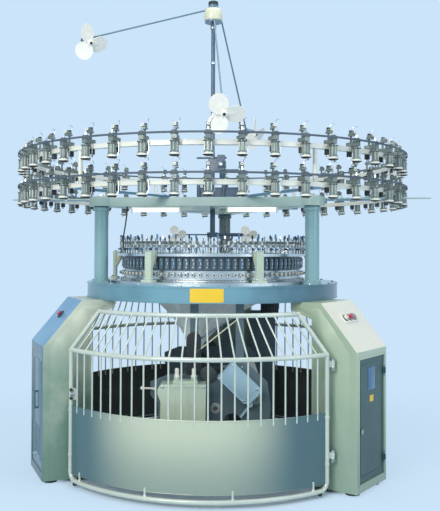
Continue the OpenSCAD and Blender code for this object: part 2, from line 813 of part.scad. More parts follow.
module cabinet_door() {
    color("#4f6b6c") rotate([0, 0, leg_angles[1]]) {
        difference() {
            hatch_plate(door_thick);
            translate([leg_reach - 30, lock_y, lock_z]) rotate([0, 90, 0])
                cylinder(h = 40, r = lock_r + running);
        }
        // barrels on their leaves
        for (z = barrel_heights) difference() {
            union() {
                translate([barrel_at[0], barrel_at[1], z]) cylinder(h = barrel_height, r = barrel_r);
                translate([leg_reach - hatch_depth - 1, barrel_at[1] - 16, z])
                    cube([hatch_depth + 1 + 2 * gap, 13, barrel_height]);
                translate([leg_reach + gap, barrel_at[1] - 16, z]) cube([3, 16, barrel_height]);
            }
            translate([barrel_at[0], barrel_at[1], z - 1])
                cylinder(h = barrel_height + 2, r = barrel_pin_r + running);
        }
        // pressed rim and stiffener
        translate([leg_reach - hatch_depth, -hatch_width / 2 + 14, hatch_high - 34])
            cube([2, hatch_width - 28, 6]);
        translate([leg_reach - hatch_depth, -hatch_width / 2 + 14, hatch_low + 28])
            cube([2, hatch_width - 28, 6]);
    }
}

module cabinet_lock() {
    color("#c9cccb") rotate([0, 0, leg_angles[1]]) translate([0, lock_y, lock_z]) rotate([0, 90, 0]) {
        translate([0, 0, leg_reach - hatch_depth - door_thick - 12])
            cylinder(h = door_thick + 14, r = lock_r);
        translate([0, 0, leg_reach - hatch_depth + gap]) cylinder(h = 5, r = 14);
        translate([-3, -12, leg_reach - hatch_depth + 5]) cube([6, 24, 4]);
        translate([-26, -7, leg_reach - hatch_depth - door_thick - 12]) cube([32, 14, 3]);
    }
}

module cabinet_electrics() {
    back = leg_inner + leg_wall;
    color("#aab0ac") rotate([0, 0, leg_angles[1]]) {
        translate([back, -hatch_width / 2 + 10, hatch_low + 10])
            cube([4, hatch_width - 20, hatch_high - hatch_low - 40]);
        translate([back + 4, -110, 420]) cube([110, 220, 180]);
        for (i = [0 : 4]) translate([back + 4, -110 + i * 46, 300]) cube([70, 36, 80]);
        for (z = [160, 220]) translate([back + 4, -115, z]) cube([50, 230, 34]);
        rebate_strips();
    }
}

module button(a, at, cap) {
    rotate([0, 0, a]) on_slope(at[0], at[1]) {
        translate([0, 0, bezel_height + button_travel + gap]) cylinder(h = cap, r = button_cap_r);
        translate([0, 0, -12]) cylinder(h = 13 + bezel_height + button_travel, r = button_stem_r);
    }
}

module start_button() { color("#d9e6d4") button(leg_angles[1], right_buttons[0], 6); }
module stop_button() { color("#b83a44") button(leg_angles[1], right_buttons[1], 14); }
module inch_button() { color("#e9e9ee") button(leg_angles[1], right_buttons[2], 6); }
module left_stop_button() { color("#b83a44") button(leg_angles[0], left_buttons[0], 10); }

// knitting head

module cam_ring() {
    color("#c3c8c9") translate([0, 0, head_z]) {
        ring(cam_radius - 10, cam_bore, cam_ring_height);
        // one adjusting knob under each cam box
        for (i = [0 : cam_count - 1]) rotate([0, 0, (i + 0.5) * 360 / cam_count])
            translate([cam_radius - 14, -7, cam_ring_height - 34]) cube([20, 14, 26]);
    }
}

module cam_boxes() {
    color("#2f3940") translate([0, 0, cam_z]) {
        ring(cam_radius - 12, cam_bore + 2, cam_box_height);
        for (i = [0 : cam_count - 1]) rotate([0, 0, (i + 0.5) * 360 / cam_count])
            translate([cam_radius - 20, -13, 6]) cube([20, 26, cam_box_height - 12]);
    }
}

module sinker_ring() {
    color("#d6d9da") translate([0, 0, sinker_z]) difference() {
        ring(cam_radius + 34, cam_bore + 2, sinker_thick);
        for (i = [0 : 35]) rotate([0, 0, i * 10]) translate([cam_radius - 50, 0, sinker_thick - 4])
            cylinder(h = 6, r = 7);
    }
}

module yarn_guides() {
    low = sinker_z + sinker_thick;
    color("#d9dcd8") {
        for (i = [0 : cam_count - 1]) rotate([0, 0, i * 360 / cam_count]) {
            translate([guide_ring_r, 0, low]) cylinder(h = guide_post_height, r = 3);
            translate([guide_ring_r - 34, -5, low + guide_post_height - 30]) cube([40, 10, 12]);
        }
        // the ring is made in segments, each on its own posts
        for (i = [0 : guide_segments - 1]) translate([0, 0, guide_ring_z])
            rotate_extrude(angle = 360 / guide_segments - 2 * segment_gap,
                start = i * 360 / guide_segments + 180 / cam_count + segment_gap, $fn = arc_facets)
                translate([guide_ring_r - 6, 0]) square([12, 8]);
    }
}

module head_brackets() {
    top = sinker_z + sinker_thick;
    color("#b9c6b8") for (a = bracket_angles) rotate([0, 0, a + 360 / cam_count / 2]) {
        translate([bracket_r - 12, -36, head_z]) cube([44, 72, 12]);
        translate([bracket_r, -22, head_z]) cube([18, 44, top - head_z + 12]);
        translate([guide_ring_r + 8, -22, top]) cube([bracket_r - guide_ring_r + 10, 44, 12]);
    }
}

// columns, beam and supports

module columns() {
    color("#7e9aa3") for (a = leg_angles) rotate([0, 0, a]) translate([column_circle, 0, 0]) {
        translate([0, 0, bed_top]) cylinder(h = beam_bottom - bed_top, r = column_diameter / 2);
        translate([0, 0, bed_top]) cylinder(h = 14, r = column_foot_r);
    }
}

module top_beam() {
    color("#a9bda6") {
        for (a = guard_angles) rotate([0, 0, a]) {
            translate([beam_offset - beam_width / 2, -column_circle * cos(30), beam_bottom])
                cube([beam_width, 2 * column_circle * cos(30), beam_height]);
            translate([0, -35, beam_bottom]) cube([beam_offset, 70, beam_height]);
        }
        for (a = leg_angles) translate(polar(column_circle, a, beam_bottom))
            cylinder(h = beam_height, r = boss_radius);
        translate([0, 0, beam_bottom]) cylinder(h = beam_height, r = hub_radius);
        // outrigger rods in line with the front beam
        for (s = [[-1, outrigger_left], [1, outrigger_right]])
            rod([s[0] * column_circle * cos(30), -beam_offset, beam_top - 9],
                [s[0] * s[1], -beam_offset, beam_top - 9], 5);
    }
}

module ring_supports() {
    inner = feeder_ring_radius - ring_width / 2;
    color("#5a83a3") {
        for (a = arm_angles) rotate([0, 0, a]) {
            translate([arm_inner, -24, beam_top]) cube([inner + ring_width - arm_inner, 48, arm_thick]);
            // spacer post between the rings
            translate([feeder_ring_radius, 0, lower_ring_z + ring_thick])
                cylinder(h = ring_spacing - ring_thick, r = 11);
        }
        // belt tensioner levers
        for (a = [10, 190]) rotate([0, 0, a]) {
            translate([feeder_ring_radius - 12, -20, lower_ring_z + ring_thick]) cube([24, 40, 16]);
            for (y = [-14, 8]) translate([feeder_ring_radius - 4, y, lower_ring_z + ring_thick + 10])
                cube([8, 6, 66]);
        }
    }
}

module feeder_ring() {
    ring(feeder_ring_radius + ring_width / 2, feeder_ring_radius - ring_width / 2, ring_thick);
}

module feeder_rings() {
    color("#e3e6dd") for (z = [lower_ring_z, upper_ring_z]) translate([0, 0, z]) feeder_ring();
}

// one storage feeder on the ring's top face: body, drum, belt pulley, yarn eye
module feeder_unit() {
    translate([feeder_ring_radius - 14, -13, 0]) cube([spindle_r - feeder_ring_radius + 28, 26, unit_height]);
    translate([spindle_r, 0, 0]) rotate_extrude()
        polygon([[0, -66], [drum_radius, -66], [drum_radius, -60], [drum_radius - 5, -56],
            [drum_radius - 5, -16], [drum_radius, -12], [drum_radius, -7], [7, -7], [7, 4],
            [7, unit_height + pulley_height], [pulley_radius, unit_height + pulley_height],
            [pulley_radius, unit_height + pulley_height + 0.5], [0, unit_height + pulley_height + 0.5]]);
    translate([spindle_r, 0, unit_height]) cylinder(h = pulley_height, r = pulley_radius);
    translate([feeder_ring_radius + 2, -3, unit_height]) cube([10, 6, 38]);
    translate([feeder_ring_radius - 4, -11, unit_height + 32]) cube([34, 22, 9]);
}

module feeders() {
    for (i = [0 : feeder_count - 1]) rotate([0, 0, (i + 0.5) * feeder_pitch]) feeder_unit();
}

module lower_feeders() { color("#8d9a94") translate([0, 0, lower_ring_z + ring_thick]) feeders(); }
module upper_feeders() { color("#8d9a94") translate([0, 0, upper_ring_z + ring_thick]) feeders(); }

module belt(z) {
    translate([0, 0, z + ring_thick + unit_height + 2]) ring(belt_r + belt_thick, belt_r, belt_height);
}

module lower_belt() { color("#2b3138") belt(lower_ring_z); }
module upper_belt() { color("#2b3138") belt(upper_ring_z); }

// mast and dust fans

module mast() {
    color("#5f7c8c") {
        translate([0, 0, beam_top]) cylinder(h = head_z_low - beam_top - gap, r = mast_diameter / 2);
        translate([0, 0, head_z_low - gap - 1]) cylinder(h = 100, r = 9);
    }
    // drive housing on the hub, its four posts and the mast clamp
    color("#5f7c8c") {
        translate([-85, -55, beam_top]) cube([265, 110, 82]);
        for (x = [-80, 6, 74, 190]) translate([x, -58, beam_top]) cylinder(h = 118, r = 11);
        translate([-26, -26, mast_base_z + 66]) cube([62, 52, 74]);
        translate([30, -24, mast_base_z + 70]) cube([46, 48, 96]);
        translate([70, -8, mast_base_z + 62]) cube([92, 16, 16]);
        rod([-100, 0, mast_base_z + 150], [86, 0, mast_base_z + 150], 6);
    }
}

function fan_world(i) = [fan_centres[i][0], fan_centres[i][1], mast_top + fan_centres[i][2]];

// children placed at a fan's hub with Z along its spin axis, towards the air stream
module at_fan(i) {
    rotate([0, 0, fan_turn]) translate(fan_world(i))
        rotate([0, 0, fan_tilts[i][1]]) rotate([fan_tilts[i][0], 0, 0]) children();
}

module fan_boom() {
    color("#c8d0bd") {
        rotate([0, 0, fan_turn]) difference() {
            union() {
                translate([0, 0, head_z_low]) cylinder(h = 60, r = boom_hub_r);
                translate([0, 0, head_z_low + 50])
                    cylinder(h = mast_top - head_z_low - 50, r = boom_hub_r - 22);
                for (i = [0 : 2])
                    rod([fan_starts[i][0] * 0.4, fan_starts[i][1] * 0.4, mast_top + fan_starts[i][2]],
                        [fan_starts[i][0], fan_starts[i][1], mast_top + fan_starts[i][2]], 12);
            }
            translate([0, 0, head_z_low - 1]) cylinder(h = 102, r = 9 + running);
        }
        for (i = [0 : 2]) {
            p = fan_starts[i];
            back = fan_back(i);
            rotate([0, 0, fan_turn]) rod([p[0] * 0.8, p[1] * 0.8, mast_top + p[2]], back, rod_radius);
            // stub that carries the left fan's motor clear of its rod
            if (i == 0) at_fan(i) translate([0, 0, -fan_motor_length - fan_motor_set - fan_stub]) {
                cylinder(h = fan_stub + 4, r = rod_radius + 2);
                sphere(r = rod_radius + 4);
            }
            at_fan(i) difference() {
                translate([0, 0, -fan_motor_length - fan_motor_set])
                    cylinder(h = fan_motor_length, r = fan_motor_r);
                translate([0, 0, -fan_motor_set - fan_shaft_seat - 4])
                    cylinder(h = fan_shaft_seat + 6, r = fan_shaft_r + running);
            }
        }
    }
}

// middle of a fan's motor, in the boom's own frame
function fan_back(i) =
    let (t = fan_tilts[i][0], u = fan_tilts[i][1],
        d = -fan_motor_length - fan_motor_set + (i == 0 ? -fan_stub : 8))
    fan_world(i) + d * [sin(t) * sin(u), -sin(t) * cos(u), cos(t)];

module fan_blades(hub, reach, petal, length) {
    translate([0, 0, -length - fan_shaft_seat]) cylinder(h = length + fan_shaft_seat + 6, r = fan_shaft_r);
    translate([0, 0, -length + 4]) cylinder(h = length + 4, r = hub);
    for (i = [0 : 2]) rotate([0, 0, 120 * i]) rotate([fan_pitch, 0, 0]) {
        translate([reach, 0, -1]) cylinder(h = 2, r = petal);
        translate([hub * 0.4, -hub * 0.7, -1]) cube([reach - hub * 0.4, hub * 1.4, 2]);
    }
}

module fan_left() { color("#f2f4f1") at_fan(0) fan_blades(fan_hub_r, fan_reach, petal_radius, 14); }
module fan_front() { color("#f2f4f1") at_fan(1) fan_blades(fan_hub_r, fan_reach, petal_radius, 14); }
module fan_right() { color("#f2f4f1") at_fan(2) fan_blades(fan_hub_r, fan_reach, petal_radius, 14); }

module inner_arm() {
    color("#4a5a66") rotate([0, 0, fan_turn]) {
        translate([0, 0, inner_z]) cylinder(h = beam_bottom - inner_z - gap, r = 16);
        translate([0, 0, inner_z - 10]) cylinder(h = 30, r = 34);
        rod([12 - inner_reach, 12, inner_z + 6], [inner_reach - 12, 12, inner_z + 6], 4);
        for (s = [-1, 1]) translate([s * inner_reach, 18, inner_z + 6]) rotate([90, 0, 0]) difference() {
            cylinder(h = 34, r = 15);
            translate([0, 0, 34 - fan_shaft_seat])
                cylinder(h = fan_shaft_seat + 1, r = fan_shaft_r + running);
        }
    }
}

module inner_fan(s) {
    rotate([0, 0, fan_turn]) translate([s * inner_reach, -28, inner_z + 6]) rotate([90, 0, 0])
        fan_blades(11, 32, inner_petal, 10);
}

module inner_fan_left() { color("#f2f4f1") inner_fan(-1); }
module inner_fan_right() { color("#f2f4f1") inner_fan(1); }

// two strip lamps under the front beam
module lamps() {
    color("#f4f7f4") for (x = lamp_x) translate([x - lamp_length / 2, -beam_offset, 0]) {
        translate([-8, -18, beam_bottom - 9]) cube([lamp_length + 16, 36, 9]);
        for (e = [-8, lamp_length - 4]) translate([e, -14, beam_bottom - 34]) cube([12, 28, 27]);
        translate([0, 0, beam_bottom - 21]) rotate([0, 90, 0]) cylinder(h = lamp_length, r = 10);
    }
}

// lead hanging from the beam to the sinker ring
lead_radius = 4;
lead_sides = 8;
lead_path = [[-455, -349, beam_bottom - 0.3], [-459, -352, beam_bottom - 60],
    [-466, -357, beam_bottom - 120], [-473, -362, beam_bottom - 170],
    [-476, -365, beam_bottom - 205], [-473, -364, beam_bottom - 235],
    [-464, -360, sinker_z + sinker_thick + 18], [-464, -360, sinker_z + sinker_thick + 0.4]];

function direction(i) =
    let (a = lead_path[max(i - 1, 0)], b = lead_path[min(i + 1, len(lead_path) - 1)]) (b - a) / norm(b - a);
function lead_ring(i) =
    let (d = direction(i), u = cross(d, [0, 1, 0]) / norm(cross(d, [0, 1, 0])), v = cross(d, u))
    [for (k = [0 : lead_sides - 1])
        lead_path[i] + lead_radius * (cos(k * 360 / lead_sides) * u + sin(k * 360 / lead_sides) * v)];

module head_lead() {
    n = len(lead_path);
    s = lead_sides;
    color("#3a4248") polyhedron([for (i = [0 : n - 1]) each lead_ring(i)], concat(
        [[for (k = [0 : s - 1]) k]],
        [for (i = [0 : n - 2], k = [0 : s - 1])
            [i * s + k, (i + 1) * s + k, (i + 1) * s + (k + 1) % s, i * s + (k + 1) % s]],
        [[for (k = [s - 1 : -1 : 0]) (n - 1) * s + k]]));
}

leg_left();
leg_right();
leg_rear();
leg_covers();
levelling_feet();
base_frame();
bed_ring();
bed_plate();
oiler_cabinet();
main_motor();
drive_pinion();
ring_gear();
needle_cylinder();
takedown_frame();
gearbox_cover();
winding_guard();
fabric_tube();
draw_roller_left();
draw_roller_right();
guide_roller_low();
cloth_roll();
tension_lever();
guard_front_frame();
guard_front_panel();
guard_front_latch();
guard_right_frame();
guard_right_panel();
guard_left_frame();
guard_left_panel();
guard_hinges();
cabinet_door();
cabinet_lock();
cabinet_electrics();
start_button();
stop_button();
inch_button();
left_stop_button();
cam_ring();
cam_boxes();
sinker_ring();
yarn_guides();
head_brackets();
columns();
top_beam();
ring_supports();
feeder_rings();
lower_feeders();
upper_feeders();
lower_belt();
upper_belt();
mast();
fan_boom();
fan_left();
fan_front();
fan_right();
inner_arm();
inner_fan_left();
inner_fan_right();
lamps();
head_lead();
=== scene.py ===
"""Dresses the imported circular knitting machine: finishes, trim, cloth, lead, studio and camera."""

import logging
import math
from dataclasses import dataclass, field
from enum import Enum
from typing import Any, Iterable, Sequence

import bmesh
import bpy
from mathutils import Matrix, Vector


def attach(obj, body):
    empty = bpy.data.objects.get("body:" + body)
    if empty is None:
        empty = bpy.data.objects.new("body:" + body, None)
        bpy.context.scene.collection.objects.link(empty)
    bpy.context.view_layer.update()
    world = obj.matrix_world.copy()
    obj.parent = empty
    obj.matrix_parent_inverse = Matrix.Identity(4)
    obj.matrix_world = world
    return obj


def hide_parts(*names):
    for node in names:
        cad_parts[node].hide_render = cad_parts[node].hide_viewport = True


LOG = logging.getLogger("knitting_machine")
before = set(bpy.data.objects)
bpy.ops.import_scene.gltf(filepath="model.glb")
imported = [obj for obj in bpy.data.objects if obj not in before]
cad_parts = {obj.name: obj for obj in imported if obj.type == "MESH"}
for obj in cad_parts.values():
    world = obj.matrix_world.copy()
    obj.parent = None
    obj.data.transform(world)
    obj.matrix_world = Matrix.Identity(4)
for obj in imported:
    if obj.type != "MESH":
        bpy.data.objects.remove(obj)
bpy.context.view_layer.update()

Point = Sequence[float]


# ---- placing ----------------------------------------------------------------------------

def at(x: float = 0.0, y: float = 0.0, z: float = 0.0, rx: float = 0.0, ry: float = 0.0, rz: float = 0.0) -> Matrix:
    """Makes a placement.

    Args:
        x, y, z: the place in metres.
        rx, ry, rz: turns in degrees, about X first and Z last.
    Returns:
        The matrix that turns and then moves.
    """
    turn = Matrix.Rotation(math.radians(rz), 4, "Z") @ Matrix.Rotation(math.radians(ry), 4, "Y")
    return Matrix.Translation((x, y, z)) @ turn @ Matrix.Rotation(math.radians(rx), 4, "X")


def turned(angle: float) -> Matrix:
    """Gives the turn by an angle in degrees about the machine's axis."""
    return Matrix.Rotation(math.radians(angle), 4, "Z")


def ring_point(radius: float, angle: float, z: float) -> Vector:
    """Gives the point at a radius and an angle in degrees, at height z."""
    a = math.radians(angle)
    return Vector((radius * math.cos(a), radius * math.sin(a), z))


# ---- shader maths -----------------------------------------------------------------------

class Wire:
    """A shader socket that takes part in arithmetic."""

    def __init__(self, graph: "Graph", socket: Any) -> None:
        """Keeps the socket and the graph that it is in."""
        self.graph, self.socket = graph, socket

    def _math(self, operation: str, a: Any, b: Any = 0.0) -> "Wire":
        """Adds one Math node."""
        return self.graph.node("ShaderNodeMath", {"operation": operation}, {0: a, 1: b})

    def __add__(self, other: Any) -> "Wire":
        """Adds."""
        return self._math("ADD", self, other)

    __radd__ = __add__

    def __mul__(self, other: Any) -> "Wire":
        """Multiplies."""
        return self._math("MULTIPLY", self, other)

    __rmul__ = __mul__

    def __truediv__(self, other: Any) -> "Wire":
        """Divides."""
        return self._math("DIVIDE", self, other)

    def __gt__(self, other: Any) -> "Wire":
        """Gives 1 where this is greater."""
        return self._math("GREATER_THAN", self, other)

    def __lt__(self, other: Any) -> "Wire":
        """Gives 1 where this is smaller."""
        return self._math("LESS_THAN", self, other)

    def most(self, other: Any) -> "Wire":
        """Gives the greater of two values."""
        return self._math("MAXIMUM", self, other)

    def wave(self) -> "Wire":
        """Gives the sine."""
        return self._math("SINE", self)

    def beside(self, out: Any) -> "Wire":
        """Gives another output of the same node, by name or number."""
        return Wire(self.graph, self.socket.node.outputs[out])

    def between(self, low: float, high: float, start: float = 0.0, end: float = 1.0) -> "Wire":
        """Maps low..high to start..end, smoothly and held at both ends."""
        return self.graph.node("ShaderNodeMapRange", {"interpolation_type": "SMOOTHSTEP"},
                               {0: self, 1: low, 2: high, 3: start, 4: end})


class Graph:
    """The node tree of one material or of the world."""

    def __init__(self, owner: bpy.types.ID, output: str = "ShaderNodeOutputMaterial") -> None:
        """Empties the owner's tree and gives it its output.

        Args:
            owner: the material or the world.
            output: the type of its output node.
        """
        owner.use_nodes = True
        self.owner, self.tree = owner, owner.node_tree
        self.tree.nodes.clear()
        self.output = self.tree.nodes.new(output)

    def node(self, kind: str, settings: dict[str, Any] | None = None, values: dict[Any, Any] | None = None,
             out: Any = 0) -> Wire:
        """Adds a node.

        Args:
            kind: the node's type.
            settings: its properties, which are set first.
            values: the value or the wire of each input socket, by name or number.
            out: the output socket, by name or number.
        Returns:
            The output socket as a wire.
        """
        made = self.tree.nodes.new(kind)
        for key, value in (settings or {}).items():
            setattr(made, key, value)
        for key, value in (values or {}).items():
            if isinstance(value, Wire):
                self.tree.links.new(value.socket, made.inputs[key])
            else:
                made.inputs[key].default_value = value
        return Wire(self, made.outputs[out])

    def place(self) -> Wire:
        """Gives the Object coordinates, in metres of the row frame."""
        return self.node("ShaderNodeTexCoord", out="Object")

    def parts(self) -> tuple[Wire, Wire, Wire]:
        """Gives the three Object coordinates as values."""
        x = self.node("ShaderNodeSeparateXYZ", values={0: self.place()})
        return x, x.beside(1), x.beside(2)

    def radius(self) -> Wire:
        """Gives the distance from the machine's axis."""
        x, y, _ = self.parts()
        return self.node("ShaderNodeVectorMath", {"operation": "LENGTH"}, {0: self.combine(x, y)}, out="Value")

    def noise(self, scale: float, detail: float = 3.0, rough: float = 0.5, stretch: Point = (1, 1, 1),
              where: Wire | None = None) -> Wire:
        """Gives a noise value.

        Args:
            scale: how many features there are in a metre.
            detail: octaves.
            rough: share of each finer octave.
            stretch: factors on the three coordinates.
            where: other coordinates than the Object ones.
        Returns:
            The value, about 0.5 on average.
        """
        mapped = self.node("ShaderNodeMapping", {"vector_type": "POINT"},
                           {"Vector": where or self.place(), "Scale": tuple(stretch)})
        return self.node("ShaderNodeTexNoise", None,
                         {"Vector": mapped, "Scale": scale, "Detail": detail, "Roughness": rough})

    def combine(self, x: Any, y: Any, z: Any = 0.0) -> Wire:
        """Makes a vector of three values."""
        return self.node("ShaderNodeCombineXYZ", None, {0: x, 1: y, 2: z})

    def mix(self, factor: Any, a: Any, b: Any) -> Wire:
        """Mixes two colours."""
        return self.node("ShaderNodeMix", {"data_type": "RGBA"}, {0: factor, 6: a, 7: b}, out=2)

    def bump(self, height: Wire, distance: float, strength: float = 1.0) -> Wire:
        """Turns a height, with distance as its full size in metres, into a normal."""
        return self.node("ShaderNodeBump", None, {"Height": height, "Distance": distance, "Strength": strength})

    def seen(self) -> Wire:
        """Gives 1 on rays of the camera, of gloss and of glass."""
        camera = self.node("ShaderNodeLightPath", out="Is Camera Ray")
        return camera.most(camera.beside("Is Glossy Ray")).most(camera.beside("Is Transmission Ray"))

    def close(self, shader: Wire) -> None:
        """Joins a shader to the output."""
        self.tree.links.new(shader.socket, self.output.inputs["Surface"])

    def surface(self, values: dict[str, Any]) -> bpy.types.Material:
        """Closes the graph with a Principled surface.

        Args:
            values: value or wire of each of its sockets.
        Returns:
            The finished material.
        """
        self.close(self.node("ShaderNodeBsdfPrincipled", None, values))
        return self.owner


def shade(code: str) -> tuple[float, float, float, float]:
    """Turns a six-digit colour code, as written on screen, into linear light."""
    parts = [int(code[i:i + 2], 16) / 255 for i in (0, 2, 4)]
    return (*[c / 12.92 if c <= 0.04045 else ((c + 0.055) / 1.055) ** 2.4 for c in parts], 1.0)


# ---- finishes ---------------------------------------------------------------------------

# The part of a noise's range that a tone follows, and the tones' shares.
CLOUDS = (0.35, 0.75)
SPECKS = (0.3, 0.8)
THREADS = (0.3, 0.75)
CLOUD_SHARE = 0.55
SPECK_SHARE = 0.12


class Grain(Enum):
    """How a surface varies."""

    MOTTLE = "sprayed paint with soft clouds"
    TURNED = "rings left by a lathe"
    DRAWN = "streaks along the height"
    CAST = "pits of a casting"
    MOULDED = "even fine texture"


@dataclass(frozen=True)
class Finish:
    """One paint, metal or moulded surface.

    Colours are six-digit codes; deep is the tone that clouds take, and also the painted shade that darkens one end
    of a part along an Object axis.
    """

    name: str
    colour: str
    deep: str
    rough: float = 0.4
    metal: float = 0.0
    coat: float = 0.0
    grain: Grain = Grain.MOTTLE
    relief: float = 0.0001
    glow: float = 0.0
    # painted shade as (low, high, most): the deep tone's share is most at low and none at high along the given axis
    painted_shade: tuple[float, float, float] = (0.0, 1.0, 0.0)
    painted_shade_axis: int = 2

    def texture(self, g: Graph) -> tuple[Wire, Wire]:
        """Makes the large and the fine variation.

        Args:
            g: the graph to add to.
        Returns:
            The large one and the fine one, each from 0 to 1.
        """
        if self.grain is Grain.TURNED:
            rings = g.combine(g.radius(), g.parts()[2])
            return g.noise(9, 3), g.noise(260, 2, where=rings)
        if self.grain is Grain.DRAWN:
            return g.noise(7, 3), g.noise(160, 3, stretch=(1, 1, 0.02))
        if self.grain is Grain.CAST:
            return g.noise(14, 5, 0.6), g.noise(420, 3, 0.7)
        if self.grain is Grain.MOULDED:
            return g.noise(5, 2), g.noise(900, 2)
        return g.noise(2.6, 4, 0.55), g.noise(520, 2)

    def colour_wire(self, g: Graph, large: Wire, fine: Wire) -> Wire:
        """Mixes the colour out of its two tones.

        Args:
            g: the graph to add to.
            large, fine: the variations that texture() gives.
        Returns:
            The colour.
        """
        low, high, most = self.painted_shade
        cloud = large.between(*CLOUDS) * CLOUD_SHARE + fine.between(*SPECKS) * SPECK_SHARE
        # painted shade: darker towards one end of the axis
        if most:
            cloud = cloud + g.parts()[self.painted_shade_axis].between(low, high, most, 0.0)
        return g.mix(cloud, shade(self.colour), shade(self.deep))

    def material(self) -> bpy.types.Material:
        """Gives the material, made once.

        Returns:
            The material of that name.
        """
        if self.name in bpy.data.materials:
            return bpy.data.materials[self.name]
        g = Graph(bpy.data.materials.new(self.name))
        large, fine = self.texture(g)
        colour = self.colour_wire(g, large, fine)
        values = {
            "Base Color": colour,
            "Metallic": self.metal,
            "Roughness": large.between(*SPECKS, self.rough * 0.85, min(1.0, self.rough * 1.25)),
            "Coat Weight": self.coat,
            "Coat Roughness": 0.08,
            "Normal": g.bump(fine, self.relief, 0.6),
        }
        if self.glow:
            values |= {"Emission Color": shade(self.colour), "Emission Strength": self.glow}
        return g.surface(values)


@dataclass(frozen=True)
class LegPaintAndSheen(Finish):
    """Paint of a leg's sides, with painted light on its outer face and shoulder: a painted reflection of the blue
    room on the left and rear legs, a painted highlight on the right leg, and painted shade darkening the outer face
    towards the bottom.
    """

    angle: float = 210.0
    # painted reflection and highlight of the shoulder (outer) and the outer face (wall), each in two tones
    outer: str = "6299c0"
    outer_deep: str = "4f82a8"
    wall: str = "4d6e7c"
    wall_deep: str = "3e5c66"
    reach: float = 1.066
    shoulder_r: float = 0.857
    shoulder_z: float = 0.99
    wall_top: float = 0.744
    tilt: float = 49.534
    skin: float = 0.0015

    def colour_wire(self, g: Graph, large: Wire, fine: Wire) -> Wire:
        """Lays the painted reflection and highlight where the surface lies on the outer face or the shoulder.

        Args:
            g: the graph to add to.
            large, fine: the variations that texture() gives.
        Returns:
            The colour.
        """
        sides = super().colour_wire(g, large, fine)
        x, y, z = g.parts()
        a, t = math.radians(self.angle), math.radians(self.tilt)
        out = x * math.cos(a) + y * math.sin(a)
        over = out * math.sin(t) + z * math.cos(t)
        edge = self.shoulder_r * math.sin(t) + self.shoulder_z * math.cos(t)
        sheen_mask = (out > self.reach - self.skin).most(over > edge - self.skin)
        shoulder = g.mix(large.between(*CLOUDS) * 0.5, shade(self.outer), shade(self.outer_deep))
        # painted shade: the outer face darkens towards the bottom
        wall = g.mix(z.between(0.0, self.wall_top, 1.0, 0.0), shade(self.wall), shade(self.wall_deep))
        return g.mix(sheen_mask, sides, g.mix(z > self.wall_top, wall, shoulder))


@dataclass(frozen=True)
class TwoToneAndShade(Finish):
    """Paint that has a second pair of tones past a limit on one of the Object axes: a second paint on the ring
    supports, painted shade on the rear column.
    """

    axis: int = 2
    edge: float = 1.6
    second: str = "e6e8de"
    second_deep: str = "cfd3c8"

    def colour_wire(self, g: Graph, large: Wire, fine: Wire) -> Wire:
        """Lays the second pair past the limit.

        Args:
            g: the graph to add to.
            large, fine: the variations that texture() gives.
        Returns:
            The colour.
        """
        first = super().colour_wire(g, large, fine)
        second = g.mix(large.between(*CLOUDS) * 0.5, shade(self.second), shade(self.second_deep))
        return g.mix(g.parts()[self.axis] > self.edge, first, second)


@dataclass(frozen=True)
class PanelPaintAndSheen(Finish):
    """Satin paint of the guard panels with a painted highlight, lightest at the middle and top of each door and
    dark towards its sides, and painted shade in dark slate on the inside.
    """

    middles: tuple[float, ...] = (269.0, 29.0, 149.0)
    across: tuple[float, float] = (0.81, 0.998)
    up: tuple[float, float] = (0.07, 0.42)
    # faces within inner_r take the inside colour, which is painted shade
    inner_r: float = 0.9545
    inside: str = "474b4a"

    def colour_wire(self, g: Graph, large: Wire, fine: Wire) -> Wire:
        """Paints the highlight by the angle from the door's middle and by height, and the painted shade inside.

        Args:
            g: the graph to add to.
            large, fine: the variations that texture() gives; large is not used.
        Returns:
            The colour.
        """
        x, y, z = g.parts()
        radius, nearest = g.radius(), -1.0
        for angle in self.middles:
            a = math.radians(angle)
            nearest = ((x * math.cos(a) + y * math.sin(a)) / radius).most(nearest)
        # painted highlight: pale towards each door's middle and top, deep towards its sides and bottom
        light = nearest.between(*self.across) * z.between(*self.up, 0.45, 1.0)
        paint = g.mix(light + fine.between(*SPECKS) * 0.05, shade(self.deep), shade(self.colour))
        # painted shade: dark slate on the inner face
        return g.mix(radius < self.inner_r, paint, shade(self.inside))


@dataclass(frozen=True)
class Knit(Finish):
    """Fine single-jersey knit; patterns follow the piece's own UV map, and `light` is a painted glow that brightens
    the shaded cloth.
    """

    wales: float = 900.0
    courses: float = 260.0
    # painted glow: emission strength that lifts the cloth out of its shade
    light: float = 0.10

    def material(self) -> bpy.types.Material:
        """Gives the material, made once.

        Returns:
            The material of that name.
        """
        if self.name in bpy.data.materials:
            return bpy.data.materials[self.name]
        g = Graph(bpy.data.materials.new(self.name))
        u = g.node("ShaderNodeSeparateXYZ", values={0: g.node("ShaderNodeTexCoord", out="UV")})
        v = u.beside(1)
        wale = (u * (self.wales * math.tau)).wave() * 0.5 + 0.5
        course = (v * (self.courses * math.tau)).wave() * 0.5 + 0.5
        streak = g.noise(60, 3, 0.6, where=g.combine(u * 1.0, v * 0.03))
        cloud = g.noise(4, 4, 0.55)
        tone = streak.between(*THREADS) * 0.55 + cloud.between(*THREADS) * 0.35 + wale * 0.1
        colour = g.mix(tone, shade(self.colour), shade(self.deep))
        # the emission is a painted glow, not a lamp
        return g.surface({"Base Color": colour, "Roughness": 0.85, "Sheen Weight": 0.25, "Sheen Roughness": 0.5,
                          "Emission Color": shade(self.colour), "Emission Strength": self.light,
                          "Normal": g.bump(wale * 0.6 + course * 0.4 + streak, self.relief, 0.7)})


